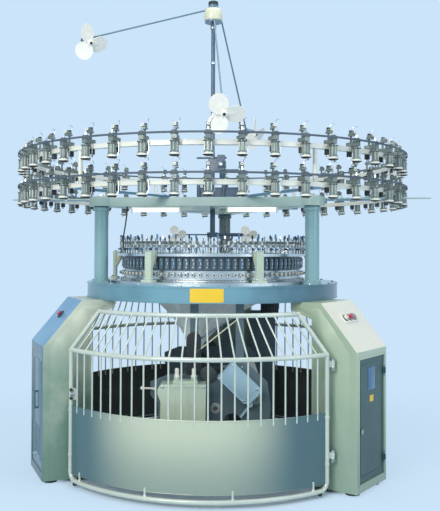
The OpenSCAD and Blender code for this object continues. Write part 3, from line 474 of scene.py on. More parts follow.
# The legs are painted darker towards the bottom, which is painted shade, and carry painted light on their outer
# faces and shoulders: the blue room reflected on the left and rear, a highlight on the right.
LEG_LEFT = LegPaintAndSheen("leg_left_paint_and_sheen", "d9decd", "6c8b7d", 0.36, coat=0.2, painted_shade=(0.02, 0.97, 0.95), angle=210.0)
LEG_REAR = LegPaintAndSheen("leg_rear_paint_and_sheen", "9fae9a", "6f8479", 0.36, coat=0.2, painted_shade=(0.0, 0.9, 0.5), angle=90.0)
LEG_RIGHT = LegPaintAndSheen("leg_right_paint_and_sheen", "a9b99e", "8da695", 0.36, coat=0.2, painted_shade=(0.0, 0.95, 0.6), angle=330.0,
                     outer="e6e5d6", outer_deep="d9d9c8", wall="b4c4b0", wall_deep="93a898")
# painted reflection: the outer covers of the left and rear legs carry the blue of the room, like the legs' outer
# faces
BLUE = Finish("cover_blue", "43697a", "355768", 0.34, coat=0.3)
# painted shade: the bed ring is painted darker towards its right side (+X)
BED = Finish("bed_blue", "6fa0b2", "3d6376", 0.28, coat=0.4, painted_shade=(0.72, 0.12, 0.75), painted_shade_axis=0)
# painted shade: the column past y = 0.3, the rear one, takes the darker second pair
COLUMN = TwoToneAndShade("column_blue_grey", "88b0b5", "6a939b", 0.3, coat=0.25, axis=1, edge=0.3, second="566a6e",
                 second_deep="44575c")
BEAM = Finish("beam_sage", "a4bbb5", "88a29f", 0.38, coat=0.15)
# painted shade: the cabinet door is painted darker towards the bottom
DOOR = Finish("door_slate", "2d5351", "244545", 0.38, coat=0.2, painted_shade=(0.05, 0.7, 0.3))
# painted highlight at the middle of each door, painted shade at its sides and inside
PANEL = PanelPaintAndSheen("panel_sage", "b9c4b0", "44666f", 0.36, coat=0.2)
# painted shade: the gearbox cover is painted darker towards the bottom
COVER = Finish("box_sage", "c8d8c6", "a8bda9", 0.36, coat=0.2, painted_shade=(0.30, 0.52, 0.5))
PALE_BLUE = Finish("guard_pale_blue", "a4c6d6", "8bb0c4", 0.34, coat=0.25)
SLATE = Finish("frame_slate", "5b7079", "465860", 0.45, coat=0.1)
DARK_CAST = Finish("dark_casting", "3e4a4c", "2c3638", 0.6, grain=Grain.CAST, relief=0.0006)
IRON = Finish("foot_iron", "33393c", "222729", 0.55, metal=0.4, grain=Grain.CAST, relief=0.0005)
CHROME = Finish("rail_chrome", "c6d1c8", "b2beb4", 0.3, metal=0.1, coat=0.3, grain=Grain.MOULDED, relief=0.00002)
STEEL = Finish("turned_steel", "c9cecf", "a2a9ab", 0.28, metal=1.0, grain=Grain.TURNED, relief=0.00006)
POLISH = Finish("polished_steel", "d3d9da", "b2babd", 0.27, metal=1.0, grain=Grain.TURNED, relief=0.00003)
CAM_DARK = Finish("cam_black", "586c77", "3c4a54", 0.34, coat=0.25)
CAM_BLUE = Finish("cam_blue", "46718c", "335870", 0.34, coat=0.3)
ALLOY = Finish("feeder_casting", "7d8986", "57615f", 0.4, metal=0.35, grain=Grain.CAST, relief=0.0002)
DRUM = Finish("drum_grey", "b9c2bb", "98a39c", 0.36, metal=0.3, grain=Grain.MOULDED)
WHITE = Finish("white_enamel", "dfe2da", "ccd1c6", 0.3, coat=0.3)
CREAM = Finish("cream_paint", "d9dcc2", "c2c6a8", 0.36, coat=0.2)
BOOM = Finish("boom_blue", "5f7d93", "4b6678", 0.32, coat=0.3)
MAST = Finish("mast_slate", "3c566e", "2c4154", 0.34, coat=0.3)
ARM_BLUE = Finish("arm_blue", "457aa3", "356084", 0.34, coat=0.3)
SUPPORT = TwoToneAndShade("support_paint", "4b7d9c", "3a6480", 0.34, coat=0.3, axis=2, edge=1.6045)
BLACK = Finish("black_plastic", "22272b", "15181b", 0.42, grain=Grain.MOULDED, relief=0.00008)
RUBBER = Finish("black_rubber", "23292e", "171b1f", 0.7, grain=Grain.MOULDED, relief=0.0001)
BELT = Finish("belt_grey", "4c5a68", "3a4652", 0.6, grain=Grain.MOULDED, relief=0.0001)
PETAL = Finish("petal_white", "f3f3ed", "e9eae2", 0.5, grain=Grain.MOULDED, relief=0.00002)
GREY = Finish("moulded_grey", "9aa3a3", "7d8787", 0.45, grain=Grain.MOULDED)
LAMP = Finish("lamp_glass", "f4fbf6", "eaf3ee", 0.3, glow=0.9)
RED = Finish("red_plastic", "b93a4c", "932a39", 0.34, coat=0.4, grain=Grain.MOULDED)
IVORY = Finish("ivory_plastic", "eceadf", "dcd9c9", 0.34, coat=0.4, grain=Grain.MOULDED)
YELLOW = Finish("yellow_plate", "ecc62f", "d9ae1c", 0.42, coat=0.2)
PLATE_BLUE = Finish("plate_blue", "3b6e96", "2b5272", 0.3, coat=0.4)
KNIT = Knit("grey_knit", "dde6e8", "b6c3ca", relief=0.0012)

NODES_BY_FINISH: dict[Finish, str] = {
    LEG_LEFT: "leg_left",
    LEG_RIGHT: "leg_right",
    LEG_REAR: "leg_rear",
    BLUE: "leg_covers",
    IRON: "levelling_feet",
    DARK_CAST: "base_frame main_motor",
    BED: "bed_ring",
    POLISH: "bed_plate needle_cylinder sinker_ring",
    SLATE: "oiler_cabinet takedown_frame",
    STEEL: "drive_pinion ring_gear guide_roller_low guard_front_latch guard_hinges cam_ring",
    COVER: "gearbox_cover head_brackets",
    PALE_BLUE: "winding_guard",
    RUBBER: "draw_roller_left draw_roller_right",
    KNIT: "cloth_roll",
    IVORY: "tension_lever start_button",
    CHROME: "guard_front_frame guard_right_frame guard_left_frame",
    PANEL: "guard_front_panel guard_right_panel guard_left_panel",
    DOOR: "cabinet_door",
    GREY: "cabinet_lock cabinet_electrics inch_button",
    RED: "stop_button left_stop_button",
    CAM_DARK: "cam_boxes",
    ALLOY: "yarn_guides lower_feeders upper_feeders",
    COLUMN: "columns",
    BEAM: "top_beam",
    SUPPORT: "ring_supports",
    WHITE: "feeder_rings",
    BELT: "lower_belt upper_belt",
    MAST: "mast inner_arm",
    BOOM: "fan_boom",
    PETAL: "fan_left fan_front fan_right inner_fan_left inner_fan_right",
    LAMP: "lamps",
}


# ---- studio and camera ------------------------------------------------------------------

@dataclass(frozen=True)
class Studio:
    """The camera of the picture, the pale blue room and its lamps."""

    focal_px: float = 753.3
    picture: tuple[int, int] = (440, 511)
    azimuth: float = 7.07
    distance: float = 4.656
    height: float = 1.273
    pitch: float = 1.02
    roll: float = 0.215
    centre_px: tuple[float, float] = (212.5, 236.0)
    sensor: float = 36.0
    room: str = "cbe4fa"
    ground: str = "d6e7f5"
    even: tuple[str, float] = ("dfe9f0", 0.54)
    lights: tuple[tuple[str, Point, Point, float, float, str], ...] = (
        ("key", (-1.7, -5.0, 3.2), (0, 0, 0.9), 2.4, 175, "fffbf2"),
        ("fill", (3.8, -2.8, 2.6), (0.2, 0, 0.9), 2.4, 48, "f2f8ff"),
        ("top", (0.6, -0.4, 5.2), (0, 0, 1), 3.0, 85, "ffffff"))

    def camera(self) -> None:
        """Sets up the camera as solved from the picture."""
        data = bpy.data.cameras.new("camera")
        data.sensor_width = self.sensor
        wide, high = self.picture
        data.lens = self.focal_px / high * self.sensor
        data.shift_x = (wide / 2 - self.centre_px[0]) / high
        data.shift_y = -(high / 2 - self.centre_px[1]) / high
        data.clip_end = 100.0
        camera = bpy.data.objects.new("camera", data)
        a = math.radians(self.azimuth)
        place = Matrix.Translation((self.distance * math.sin(a), -self.distance * math.cos(a), self.height))
        tilt = Matrix.Rotation(math.radians(90 + self.pitch), 4, "X")
        camera.matrix_world = place @ turned(self.azimuth) @ tilt @ Matrix.Rotation(math.radians(self.roll), 4, "Z")
        bpy.context.scene.collection.objects.link(camera)
        bpy.context.scene.camera = camera

    def lamp(self, name: str, place: Point, target: Point, size: float, power: float, code: str) -> None:
        """Adds one soft square lamp.

        Args:
            name: its name.
            place, target: where it hangs and what it faces.
            size: its side in metres.
            power: in watts.
            code: its colour.
        """
        data = bpy.data.lights.new(name, "AREA")
        data.shape, data.size, data.energy, data.color = "SQUARE", size, power, shade(code)[:3]
        lamp = bpy.data.objects.new(name, data)
        lamp.location = place
        lamp.rotation_euler = (Vector(target) - Vector(place)).to_track_quat("-Z", "Y").to_euler()
        bpy.context.scene.collection.objects.link(lamp)

    def lamps(self) -> None:
        """Adds the key, the fill and the top lamp."""
        for light in self.lights:
            self.lamp(*light)

    def sky(self) -> None:
        """Makes the room that the camera, gloss and glass see, and a plain even light for the rest."""
        world = bpy.data.worlds.new("room")
        bpy.context.scene.world = world
        g = Graph(world, "ShaderNodeOutputWorld")
        view = g.node("ShaderNodeBackground", None, {"Color": shade(self.room)})
        even = g.node("ShaderNodeBackground", None, {"Color": shade(self.even[0]), "Strength": self.even[1]})
        g.close(g.node("ShaderNodeMixShader", None, {0: g.seen(), 1: even, 2: view}))

    def floor(self) -> None:
        """Lays the pale floor, which takes the shadow near the machine and turns into the room farther off."""
        g = Graph(bpy.data.materials.new("floor_blue"))
        far = g.radius()
        matt = g.node("ShaderNodeBsdfDiffuse", None, {"Color": shade(self.ground)})
        even = g.node("ShaderNodeEmission", None, {"Color": shade(self.room)})
        share = g.seen() * (far.between(0.90, 1.02, 0.0, 0.75) + far.between(1.1, 3.2, 0.0, 0.25))
        g.close(g.node("ShaderNodeMixShader", None, {0: share, 1: matt, 2: even}))
        bm = bmesh.new()
        bmesh.ops.create_circle(bm, cap_ends=True, segments=64, radius=30.0)
        mesh = bpy.data.meshes.new("floor")
        bm.to_mesh(mesh)
        bm.free()
        floor = bpy.data.objects.new("floor", mesh)
        floor.data.materials.append(g.owner)
        bpy.context.scene.collection.objects.link(floor)

    def build(self) -> None:
        """Makes everything around the machine."""
        bpy.context.scene.view_settings.view_transform = "Standard"
        self.camera()
        self.lamps()
        self.sky()
        self.floor()


# ---- shapes -----------------------------------------------------------------------------

# Angles in radians past which the edges of a block or the rims of a rod are rounded.
EDGE_BEND = 0.6
RIM_BEND = 1.2


def verts_in(geom: Iterable[Any]) -> list[Any]:
    """Picks the vertices out of what an operator gives."""
    return [g for g in geom if isinstance(g, bmesh.types.BMVert)]


def edges_of(verts: Iterable[Any]) -> list[Any]:
    """Gives the edges at the vertices, each once."""
    return list(dict.fromkeys(e for v in verts for e in v.link_edges))


def faces_of(verts: Iterable[Any]) -> list[Any]:
    """Gives the faces at the vertices, each once."""
    return list(dict.fromkeys(f for v in verts for f in v.link_faces))


def linked(verts: Iterable[Any]) -> list[Any]:
    """Gives all vertices that hang together with these.

    Args:
        verts: some vertices.
    Returns:
        Them and all that edges join to them.
    """
    seen = dict.fromkeys(verts)
    todo = list(seen)
    while todo:
        for edge in todo.pop().link_edges:
            fresh = [v for v in edge.verts if v not in seen]
            seen.update(dict.fromkeys(fresh))
            todo += fresh
    return list(seen)


def grow(bm: bmesh.types.BMesh, row: Sequence[Any]) -> tuple[list[Any], list[Any]]:
    """Extrudes a row of edges.

    Args:
        bm: the mesh that they are in.
        row: the edges.
    Returns:
        The new vertices and the new row of edges.
    """
    grown = bmesh.ops.extrude_edge_only(bm, edges=row)["geom"]
    fresh = verts_in(grown)
    inside = set(fresh)
    return fresh, [g for g in grown if isinstance(g, bmesh.types.BMEdge) and set(g.verts) <= inside]


class Shape:
    """A mesh that grows out of primitive solids, each with its own finish."""

    def __init__(self, name: str) -> None:
        """Starts an empty mesh.

        Args:
            name: of the mesh and of its piece.
        """
        self.name = name
        self.bm = bmesh.new()
        self.finishes: list[Finish] = []
        self.current = 0

    def use(self, finish: Finish) -> "Shape":
        """Sets the finish of what is added next.

        Args:
            finish: one of the finishes above.
        Returns:
            The shape itself, to add to.
        """
        if finish not in self.finishes:
            self.finishes.append(finish)
        self.current = self.finishes.index(finish)
        return self

    def keep(self, verts: Iterable[Any], place: Matrix) -> list[Any]:
        """Moves new vertices into place and gives their faces the current finish.

        Args:
            verts: what was just made, where some may stand twice.
            place: where it goes.
        Returns:
            The vertices, each once.
        """
        verts = list(dict.fromkeys(verts))
        bmesh.ops.transform(self.bm, matrix=place, verts=verts)
        for face in faces_of(verts):
            face.material_index = self.current
        return verts

    def soften(self, verts: Iterable[Any], width: float, steps: int = 2, bend: float = EDGE_BEND) -> list[Any]:
        """Rounds the sharp edges of what was just added.

        Args:
            verts: its vertices.
            width: of the rounding.
            steps: facets of the rounding.
            bend: angle in radians past which an edge is sharp.
        Returns:
            All its vertices after that.
        """
        edges = [e for e in edges_of(verts) if e.calc_face_angle(0.0) > bend]
        made = bmesh.ops.bevel(self.bm, geom=edges, offset=width, offset_type="OFFSET", segments=steps,
                               profile=0.5, affect="EDGES", clamp_overlap=True, material=-1)["verts"]
        return [v for v in [*verts, *made] if v.is_valid]

    def outwards(self, verts: Iterable[Any]) -> None:
        """Points the faces at the vertices outwards."""
        bmesh.ops.recalc_face_normals(self.bm, faces=faces_of(verts))

    def box(self, size: Point, place: Matrix, soft: float = 0.0, steps: int = 2) -> list[Any]:
        """Adds a block whose middle is the placement's origin.

        Args:
            size: its three lengths in metres.
            place: where it goes.
            soft: radius of its edges.
            steps: facets of that rounding.
        Returns:
            Its vertices.
        """
        verts = bmesh.ops.create_cube(self.bm, size=1.0, matrix=Matrix.Diagonal((*size, 1.0)))["verts"]
        if soft:
            verts = self.soften(verts, soft, steps)
        return self.keep(verts, place)

    def rod(self, radius: float, length: float, place: Matrix, sides: int = 12, end: float | None = None,
            soft: float = 0.0) -> list[Any]:
        """Adds a cylinder or cone that stands on the placement's origin along its Z axis.

        Args:
            radius: at the origin.
            length: along Z.
            place: where it goes.
            sides: facets round it.
            end: radius at the far end, where it isn't the same.
            soft: radius of its rims.
        Returns:
            Its vertices.
        """
        verts = bmesh.ops.create_cone(self.bm, cap_ends=True, segments=sides, radius1=radius,
                                      radius2=radius if end is None else end, depth=length,
                                      matrix=Matrix.Translation((0, 0, length / 2)))["verts"]
        if soft:
            verts = self.soften(verts, soft, bend=RIM_BEND)
        return self.keep(verts, place)

    def ball(self, radius: float, place: Matrix, sides: int) -> list[Any]:
        """Adds a ball."""
        made = bmesh.ops.create_uvsphere(self.bm, u_segments=sides, v_segments=max(4, sides // 2), radius=radius)
        return self.keep(made["verts"], place)

    def lathe(self, profile: Sequence[Point], place: Matrix, sides: int = 32) -> list[Any]:
        """Turns a profile of (radius, height) points round the placement's Z axis.

        Args:
            profile: its points, in order; points on the axis have radius 0.
            place: where it goes.
            sides: facets round it.
        Returns:
            Its vertices.
        """
        line = [self.bm.verts.new((profile[0][0], 0, profile[0][1]))]
        for radius, height in profile[1:]:
            line += bmesh.ops.extrude_vert_indiv(self.bm, verts=line[-1:])["verts"]
            line[-1].co = (radius, 0, height)
        bmesh.ops.spin(self.bm, geom=line + edges_of(line), cent=(0, 0, 0), axis=(0, 0, 1), angle=math.tau,
                       steps=sides, use_merge=True, use_duplicate=False)
        verts = linked(line)
        bmesh.ops.remove_doubles(self.bm, verts=verts, dist=1e-6)
        verts = [v for v in verts if v.is_valid]
        self.outwards(verts)
        return self.keep(verts, place)

    def plate(self, outline: Sequence[Point], thick: float, place: Matrix, soft: float = 0.0) -> list[Any]:
        """Adds a flat plate.

        Args:
            outline: its (x, y) corners, counter-clockwise.
            thick: its height along Z.
            place: where it goes.
            soft: radius of its edges.
        Returns:
            Its vertices.
        """
        corners = [self.bm.verts.new((x, y, 0)) for x, y in outline]
        grown = bmesh.ops.extrude_face_region(self.bm, geom=[self.bm.faces.new(corners)])
        top = verts_in(grown["geom"])
        bmesh.ops.translate(self.bm, vec=(0, 0, thick), verts=top)
        verts = corners + top
        self.outwards(verts)
        if soft:
            verts = self.soften(verts, soft)
        return self.keep(verts, place)

    def hose(self, points: Sequence[Point], radius: float, sides: int = 8) -> list[Any]:
        """Sweeps a round section along points.

        Args:
            points: the centreline.
            radius: of the section.
            sides: facets round it.
        Returns:
            Its vertices.
        """
        line = [Vector(p) for p in points]
        verts = bmesh.ops.create_circle(self.bm, cap_ends=True, segments=sides, radius=radius)["verts"]
        facing = (line[1] - line[0]).normalized()
        stand = Vector((0, 0, 1)).rotation_difference(facing).to_matrix().to_4x4()
        bmesh.ops.transform(self.bm, matrix=Matrix.Translation(line[0]) @ stand, verts=verts)
        row = edges_of(verts)
        for i in range(1, len(line)):
            fresh, row = grow(self.bm, row)
            ahead = (line[min(i + 1, len(line) - 1)] - line[i - 1]).normalized()
            turn = facing.rotation_difference(ahead).to_matrix().to_4x4()
            bmesh.ops.transform(self.bm, verts=fresh,
                                matrix=Matrix.Translation(line[i]) @ turn @ Matrix.Translation(-line[i - 1]))
            verts, facing = verts + fresh, ahead
        bmesh.ops.edgeloop_fill(self.bm, edges=row)
        self.outwards(verts)
        return self.keep(verts, Matrix.Identity(4))

    def repeat(self, verts: Iterable[Any], count: int) -> None:
        """Copies a part round the machine's axis.

        Args:
            verts: the part's vertices.
            count: how many of it there are in all.
        """
        verts = list(dict.fromkeys(verts))
        geom = verts + edges_of(verts) + faces_of(verts)
        for i in range(1, count):
            copy = bmesh.ops.duplicate(self.bm, geom=geom)["geom"]
            bmesh.ops.rotate(self.bm, cent=(0, 0, 0), matrix=Matrix.Rotation(math.tau * i / count, 3, "Z"),
                             verts=verts_in(copy))

    def done(self, body: str, slot: str, sharp: float = 35.0, replaces: Sequence[str] = ()) -> bpy.types.Object:
        """Turns the mesh into a piece of the machine.

        Args:
            body: the body that it rides on.
            slot: not used.
            sharp: angle in degrees past which an edge stays sharp.
            replaces: the construction's nodes that it stands for.
        Returns:
            The piece.
        """
        for face in self.bm.faces:
            face.smooth = True
        for edge in self.bm.edges:
            edge.smooth = edge.calc_face_angle(0.0) < math.radians(sharp)
        mesh = bpy.data.meshes.new(self.name)
        self.bm.to_mesh(mesh)
        self.bm.free()
        piece = bpy.data.objects.new(self.name, mesh)
        for finish in self.finishes:
            mesh.materials.append(finish.material())
        bpy.context.scene.collection.objects.link(piece)
        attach(piece, body)
        if replaces:
            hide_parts(*replaces)
        LOG.info("%s: %d faces on %s", self.name, len(mesh.polygons), body)
        return piece


# ---- the lead ---------------------------------------------------------------------------

@dataclass
class HangingLead:
    """The lead that hangs from the beam down to the sinker ring."""

    radius: float = 0.004
    route: list[Point] = field(default_factory=lambda: [
        (-0.455, -0.349, 1.5197), (-0.459, -0.352, 1.46), (-0.466, -0.357, 1.40), (-0.473, -0.362, 1.35),
        (-0.476, -0.365, 1.315), (-0.473, -0.364, 1.285), (-0.464, -0.360, 1.266), (-0.464, -0.360, 1.2484)])

    def points(self, steps: int = 4) -> list[Vector]:
        """Rounds the route.

        Args:
            steps: points between two of the route's own.
        Returns:
            The finer centreline.
        """
        p = [Vector(q) for q in self.route]
        fine = []
        for i in range(len(p) - 1):
            a, b, c, d = p[max(i - 1, 0)], p[i], p[i + 1], p[min(i + 2, len(p) - 1)]
            for k in range(steps):
                t = k / steps
                fine.append(0.5 * (2 * b + (c - a) * t + (2 * a - 5 * b + 4 * c - d) * t * t
                                   + (3 * b - a - 3 * c + d) * t ** 3))
        return fine + [p[-1]]

    def build(self) -> None:
        points = self.points()
        length = sum((b - a).length for a, b in zip(points, points[1:]))
        shape = Shape("head_lead_sheath").use(BLACK)
        shape.hose(points, self.radius, 10)
        piece = shape.done("machine", "lead_black", replaces=["head_lead"])
        2 * self.radius


# ---- legs and bed -----------------------------------------------------------------------

@dataclass
class Legs:
    """Sheet skins, hatches, louvres and the plates of the three legs; the leg's own X points outwards."""

    angles: tuple[float, float, float] = (210.0, 330.0, 90.0)
    half_width: float = 0.177
    reach: float = 1.066
    inner: float = 0.800
    shoulder_r: float = 0.857
    shoulder_z: float = 0.745
    top: float = 0.990
    tilt: float = 49.534
    skin: float = 0.0022
    skin_back: float = 0.040
    skin_low: float = 0.030
    hatch_half: float = 0.150
    hatch_low: float = 0.062
    hatch_high: float = 0.703
    hatch_face: float = 1.062
    field_margin: tuple[float, float] = (0.030, 0.040)
    louvres: tuple[int, float, float] = (9, 0.14, 0.018)
    inlet: tuple[float, float] = (0.090, 0.330)
    inlet_room: float = 0.045
    barrels: tuple[tuple[float, float], ...] = ((0.118, 0.176), (0.589, 0.647))
    lip: float = 0.006
    vents: tuple[int, float, float] = (6, 0.42, 0.02)
    feet_at: tuple[float, float] = (0.850, 1.010)
    feet_across: float = 0.117
    anchor: float = 0.930
    button_row: float = 0.112
    buttons: tuple[float, ...] = (-0.048, 0.0, 0.048)
    left_stop: float = 0.118
    paints: tuple[Finish, Finish, Finish] = (LEG_LEFT, LEG_RIGHT, LEG_REAR)

    def slope(self, along_slope: float, across: float, lift: float) -> Matrix:
        """Gives a placement on the shoulder, X down the slope and Z outwards."""
        return at(self.shoulder_r, 0, self.top) @ at(ry=self.tilt) @ at(along_slope, across, lift)

    def skins(self, shape: Shape, turn: Matrix, paint: Finish) -> None:
        """Lays a folded side skin on both sides of a leg, set back from its outer edge.

        Args:
            shape: the mesh to add to.
            turn: the leg's turn.
            paint: the leg's paint.
        """
        out, foot, top = self.reach - self.skin_back, self.skin_low, self.top - self.skin_low
        outline = [(self.inner + 0.012, foot), (out, foot), (out, self.shoulder_z - 0.012),
                   (self.shoulder_r - 0.008, top), (self.inner - 0.09, top), (self.inner - 0.09, 0.955),
                   (self.inner + 0.012, 0.915)]
        shape.use(paint)
        for side, sink in ((-1, 0.0010), (1, 0.0012)):
            stand = turn @ at(0, side * self.half_width, 0, rx=90)
            shape.plate(outline, self.skin, stand @ at(z=-sink), soft=0.0009)

    def hatch(self, shape: Shape, turn: Matrix, inlet: bool) -> None:
        """Adds the raised field, louvres and screws of a leg's outer cover.

        Args:
            shape: the mesh to add to.
            turn: the leg's turn.
            inlet: whether the field leaves room for the lead's inlet, which gets a rubber ring.
        """
        x, (margin, end) = self.hatch_face, self.field_margin
        half, low, high = self.hatch_half - margin, self.hatch_low + end, self.hatch_high - end
        cut = self.inlet[1] + self.inlet_room
        fields = [(half, cut, high), (0.050, low, cut)] if inlet else [(half, low, high)]
        # the blue field and louvres carry the painted reflection of the blue room
        shape.use(BLUE)
        for side, under, over in fields:
            shape.box((0.003, half + side, over - under), turn @ at(x, (side - half) / 2, (under + over) / 2),
                      soft=0.0014)
        if inlet:
            shape.use(RUBBER).lathe([(0.0155, -0.004), (0.0155, 0.0035), (0.0185, 0.0045), (0.0215, 0.002),
                                     (0.0215, -0.001), (0.0165, -0.004), (0.0155, -0.004)],
                                    turn @ at(x + 0.012, *self.inlet, ry=90), 28)
            shape.use(BLUE)
        count, first, pitch = self.louvres
        for k in range(count):
            shape.box((0.006, 0.16, 0.006), turn @ at(x + 0.002, 0, first + pitch * k, ry=-28), soft=0.0018,
                      steps=1)
        shape.use(POLISH)
        for y in (0.040 - self.hatch_half, self.hatch_half - 0.040):
            for z in (low, high):
                shape.rod(0.0072, 0.004, turn @ at(x - 0.001, y, z, ry=90), 12, soft=0.001)

    def feet(self, shape: Shape, turn: Matrix) -> None:
        """Adds spindle nuts and rubber soles to the levelling feet, and the anchor bolt's nut.

        Args:
            shape: the mesh to add to.
            turn: the leg's turn.
        """
        for r in self.feet_at:
            for side in (-1, 1):
                place = turn @ at(r, side * self.feet_across, 0)
                shape.use(RUBBER).rod(0.037, 0.004, place @ at(z=0.0002), 20, end=0.038)
                shape.use(STEEL).rod(0.016, 0.007, place @ at(z=0.0175), 6, soft=0.001)
        anchor = turn @ at(self.anchor, 0, 0.0305)
        shape.use(STEEL).rod(0.020, 0.004, anchor, 20)
        shape.rod(0.014, 0.011, anchor @ at(z=0.004), 6, soft=0.0012)

    def controls(self, shape: Shape) -> None:
        """Adds the ivory plate and the collars under the push buttons.

        Args:
            shape: the mesh to add to.
        """
        right, left = turned(self.angles[1]), turned(self.angles[0])
        shape.use(IVORY).box((0.062, 0.160, 0.004), right @ self.slope(self.button_row, 0, 0.0022), soft=0.0018)
        shape.use(BLACK)
        for across in self.buttons:
            shape.lathe([(0.0185, 0.004), (0.0215, 0.004), (0.0205, 0.0075), (0.0185, 0.0078), (0.0185, 0.004)],
                        right @ self.slope(self.button_row, across, 0), 20)
        shape.lathe([(0.0185, 0.0), (0.024, 0.0), (0.0225, 0.0075), (0.0185, 0.0078), (0.0185, 0.0)],
                    left @ self.slope(self.left_stop, 0, 0), 20)

    def cabinet(self, shape: Shape) -> None:
        """Adds the lip round the cabinet opening, with gaps for the hinges, and vents in the inner face.

        Args:
            shape: the mesh to add to.
        """
        turn, x, lip = turned(self.angles[1]), self.reach + 0.0015, self.lip
        shape.use(LEG_RIGHT)
        low, high = self.hatch_low - 2 * lip, self.hatch_high + 2 * lip
        cuts = [low, *[z for pair in self.barrels for z in pair], high]
        strips = [(-1, low, high)] + [(1, a, b) for a, b in zip(cuts[::2], cuts[1::2])]
        for side, a, b in strips:
            shape.box((0.005, 0.010, b - a), turn @ at(x, side * (self.hatch_half + lip), (a + b) / 2),
                      soft=0.0022)
        for z in (self.hatch_low - lip, self.hatch_high + lip):
            shape.box((0.005, 2 * self.hatch_half + 0.020, 0.010), turn @ at(x, 0, z), soft=0.0022)
        count, first, pitch = self.vents
        shape.use(BLACK)
        for k in range(count):
            shape.box((0.003, 0.10, 0.005), turn @ at(self.inner - 0.0008, 0, first + pitch * k))

    def build(self) -> None:
        """Makes the trim of all legs."""
        for name, angle, paint in zip(("left", "right", "rear"), self.angles, self.paints):
            shape = Shape(f"leg_{name}_trim")
            self.skins(shape, turned(angle), paint)
            if name != "right":
                self.hatch(shape, turned(angle), name == "rear")
            else:
                self.cabinet(shape)
            shape.done("machine", "leg_paint")
        feet = Shape("foot_trim")
        for angle in self.angles:
            self.feet(feet, turned(angle))
        feet.done("machine", "black_iron")
        plates = Shape("control_plates")
        self.controls(plates)
        plates.done("machine", "electric_grey")


@dataclass
class CabinetDoor:
    """Pressed field, bare plates and rivets of the cabinet door."""

    angle: float = 330.0
    face: float = 1.062
    half: float = 0.148
    low: float = 0.064
    high: float = 0.701
    rail: float = 0.010
    press: float = 0.0034
    window_z: float = 0.592
    window: tuple[float, float] = (0.084, 0.118)
    label_z: float = 0.487
    label: tuple[float, float] = (0.044, 0.034)
    lock: tuple[float, float] = (-0.118, 0.330)

    def build(self) -> None:
        """Makes the door's trim."""
        turn, shape = turned(self.angle), Shape("cabinet_door_trim")
        middle, x = (self.low + self.high) / 2, self.face
        shape.use(DOOR)
        for side in (-1, 1):
            shape.box((self.press, self.rail, self.high - self.low - 0.075),
                      turn @ at(x, side * (self.half - 0.022), middle), soft=0.0015)
        for z in (self.low + 0.030, self.high - 0.030):
            shape.box((self.press, 2 * self.half - 0.054, self.rail), turn @ at(x, 0, z), soft=0.0015)
        shape.use(PLATE_BLUE).box((0.0022, *self.window), turn @ at(x + 0.0006, 0.0, self.window_z), soft=0.001)
        shape.use(YELLOW).box((0.002, *self.label), turn @ at(x + 0.0006, 0.0, self.label_z), soft=0.0009)
        shape.use(POLISH)
        for y in (-0.037, 0.037):
            for lift in (-0.051, 0.051):
                shape.rod(0.0022, 0.0012, turn @ at(x + 0.0012, y, self.window_z + lift, ry=90), 8)
        shape.use(BLACK).lathe([(0.0142, 0.0), (0.019, 0.0), (0.0178, 0.004), (0.0142, 0.0042), (0.0142, 0.0)],
                               turn @ at(x, *self.lock, ry=90), 24)
        shape.done("cabinet_door", "cabinet_paint")


@dataclass
class Bed:
    """Screws, plates and seams of the bed."""

    radius: float = 0.760
    low: float = 0.990
    top: float = 1.080
    plate_top: float = 1.092
    plate_screws: tuple[float, float, int] = (0.627, 7.5, 24)
    rim_bolts: tuple[float, float, int] = (0.735, 4.0, 18)
    label_z: float = 1.0345
    label_first: float = 268.3
    label_step: float = 1.65
    label_steps: int = 8
    rivets: tuple[tuple[float, float], tuple[float, float]] = ((269.1, 280.7), (1.003, 1.066))

    def build(self) -> None:
        """Makes the bed's trim."""
        shape, r = Shape("bed_trim"), self.radius
        shape.use(BED)
        shape.lathe([(r - 0.002, 0.0), (r + 0.003, 0.0), (r + 0.003, 0.007), (r - 0.002, 0.009), (r - 0.002, 0.0)],
                    at(z=self.top - 0.010), 120)
        shape.lathe([(r - 0.002, 0.0), (r + 0.002, 0.0), (r + 0.002, 0.006), (r - 0.002, 0.006), (r - 0.002, 0.0)],
                    at(z=self.low + 0.001), 120)
        shape.use(STEEL)
        out, first, count = self.plate_screws
        shape.repeat(shape.rod(0.0055, 0.0035, turned(first) @ at(out, 0, self.plate_top - 0.005), 6), count)
        out, first, count = self.rim_bolts
        shape.repeat(shape.rod(0.008, 0.007, turned(first) @ at(out, 0, self.top), 6, soft=0.001), count)
        shape.use(YELLOW)
        bend = [ring_point(r + 0.0012, self.label_first + self.label_step * k, 0)
                for k in range(self.label_steps + 1)]
        for a, b in zip(bend, bend[1:]):
            yaw = math.degrees(math.atan2(b.y - a.y, b.x - a.x))
            shape.box(((b - a).length + 0.0004, 0.0018, 0.074), at(*((a + b) / 2).xy, self.label_z, rz=yaw))
        shape.use(POLISH)
        for angle in self.rivets[0]:
            for z in self.rivets[1]:
                shape.rod(0.003, 0.0018, turned(angle) @ at(r + 0.0016, 0, z, ry=90), 8)
        shape.done("machine", "bed_paint")


# ---- guard doors ------------------------------------------------------------------------

class Guard(Enum):
    """The three guard doors, each with its angle, body and whether its latch turns."""

    FRONT = (270.0, "guard_front", True)
    RIGHT = (30.0, "guard_right", False)
    LEFT = (150.0, "guard_left", False)


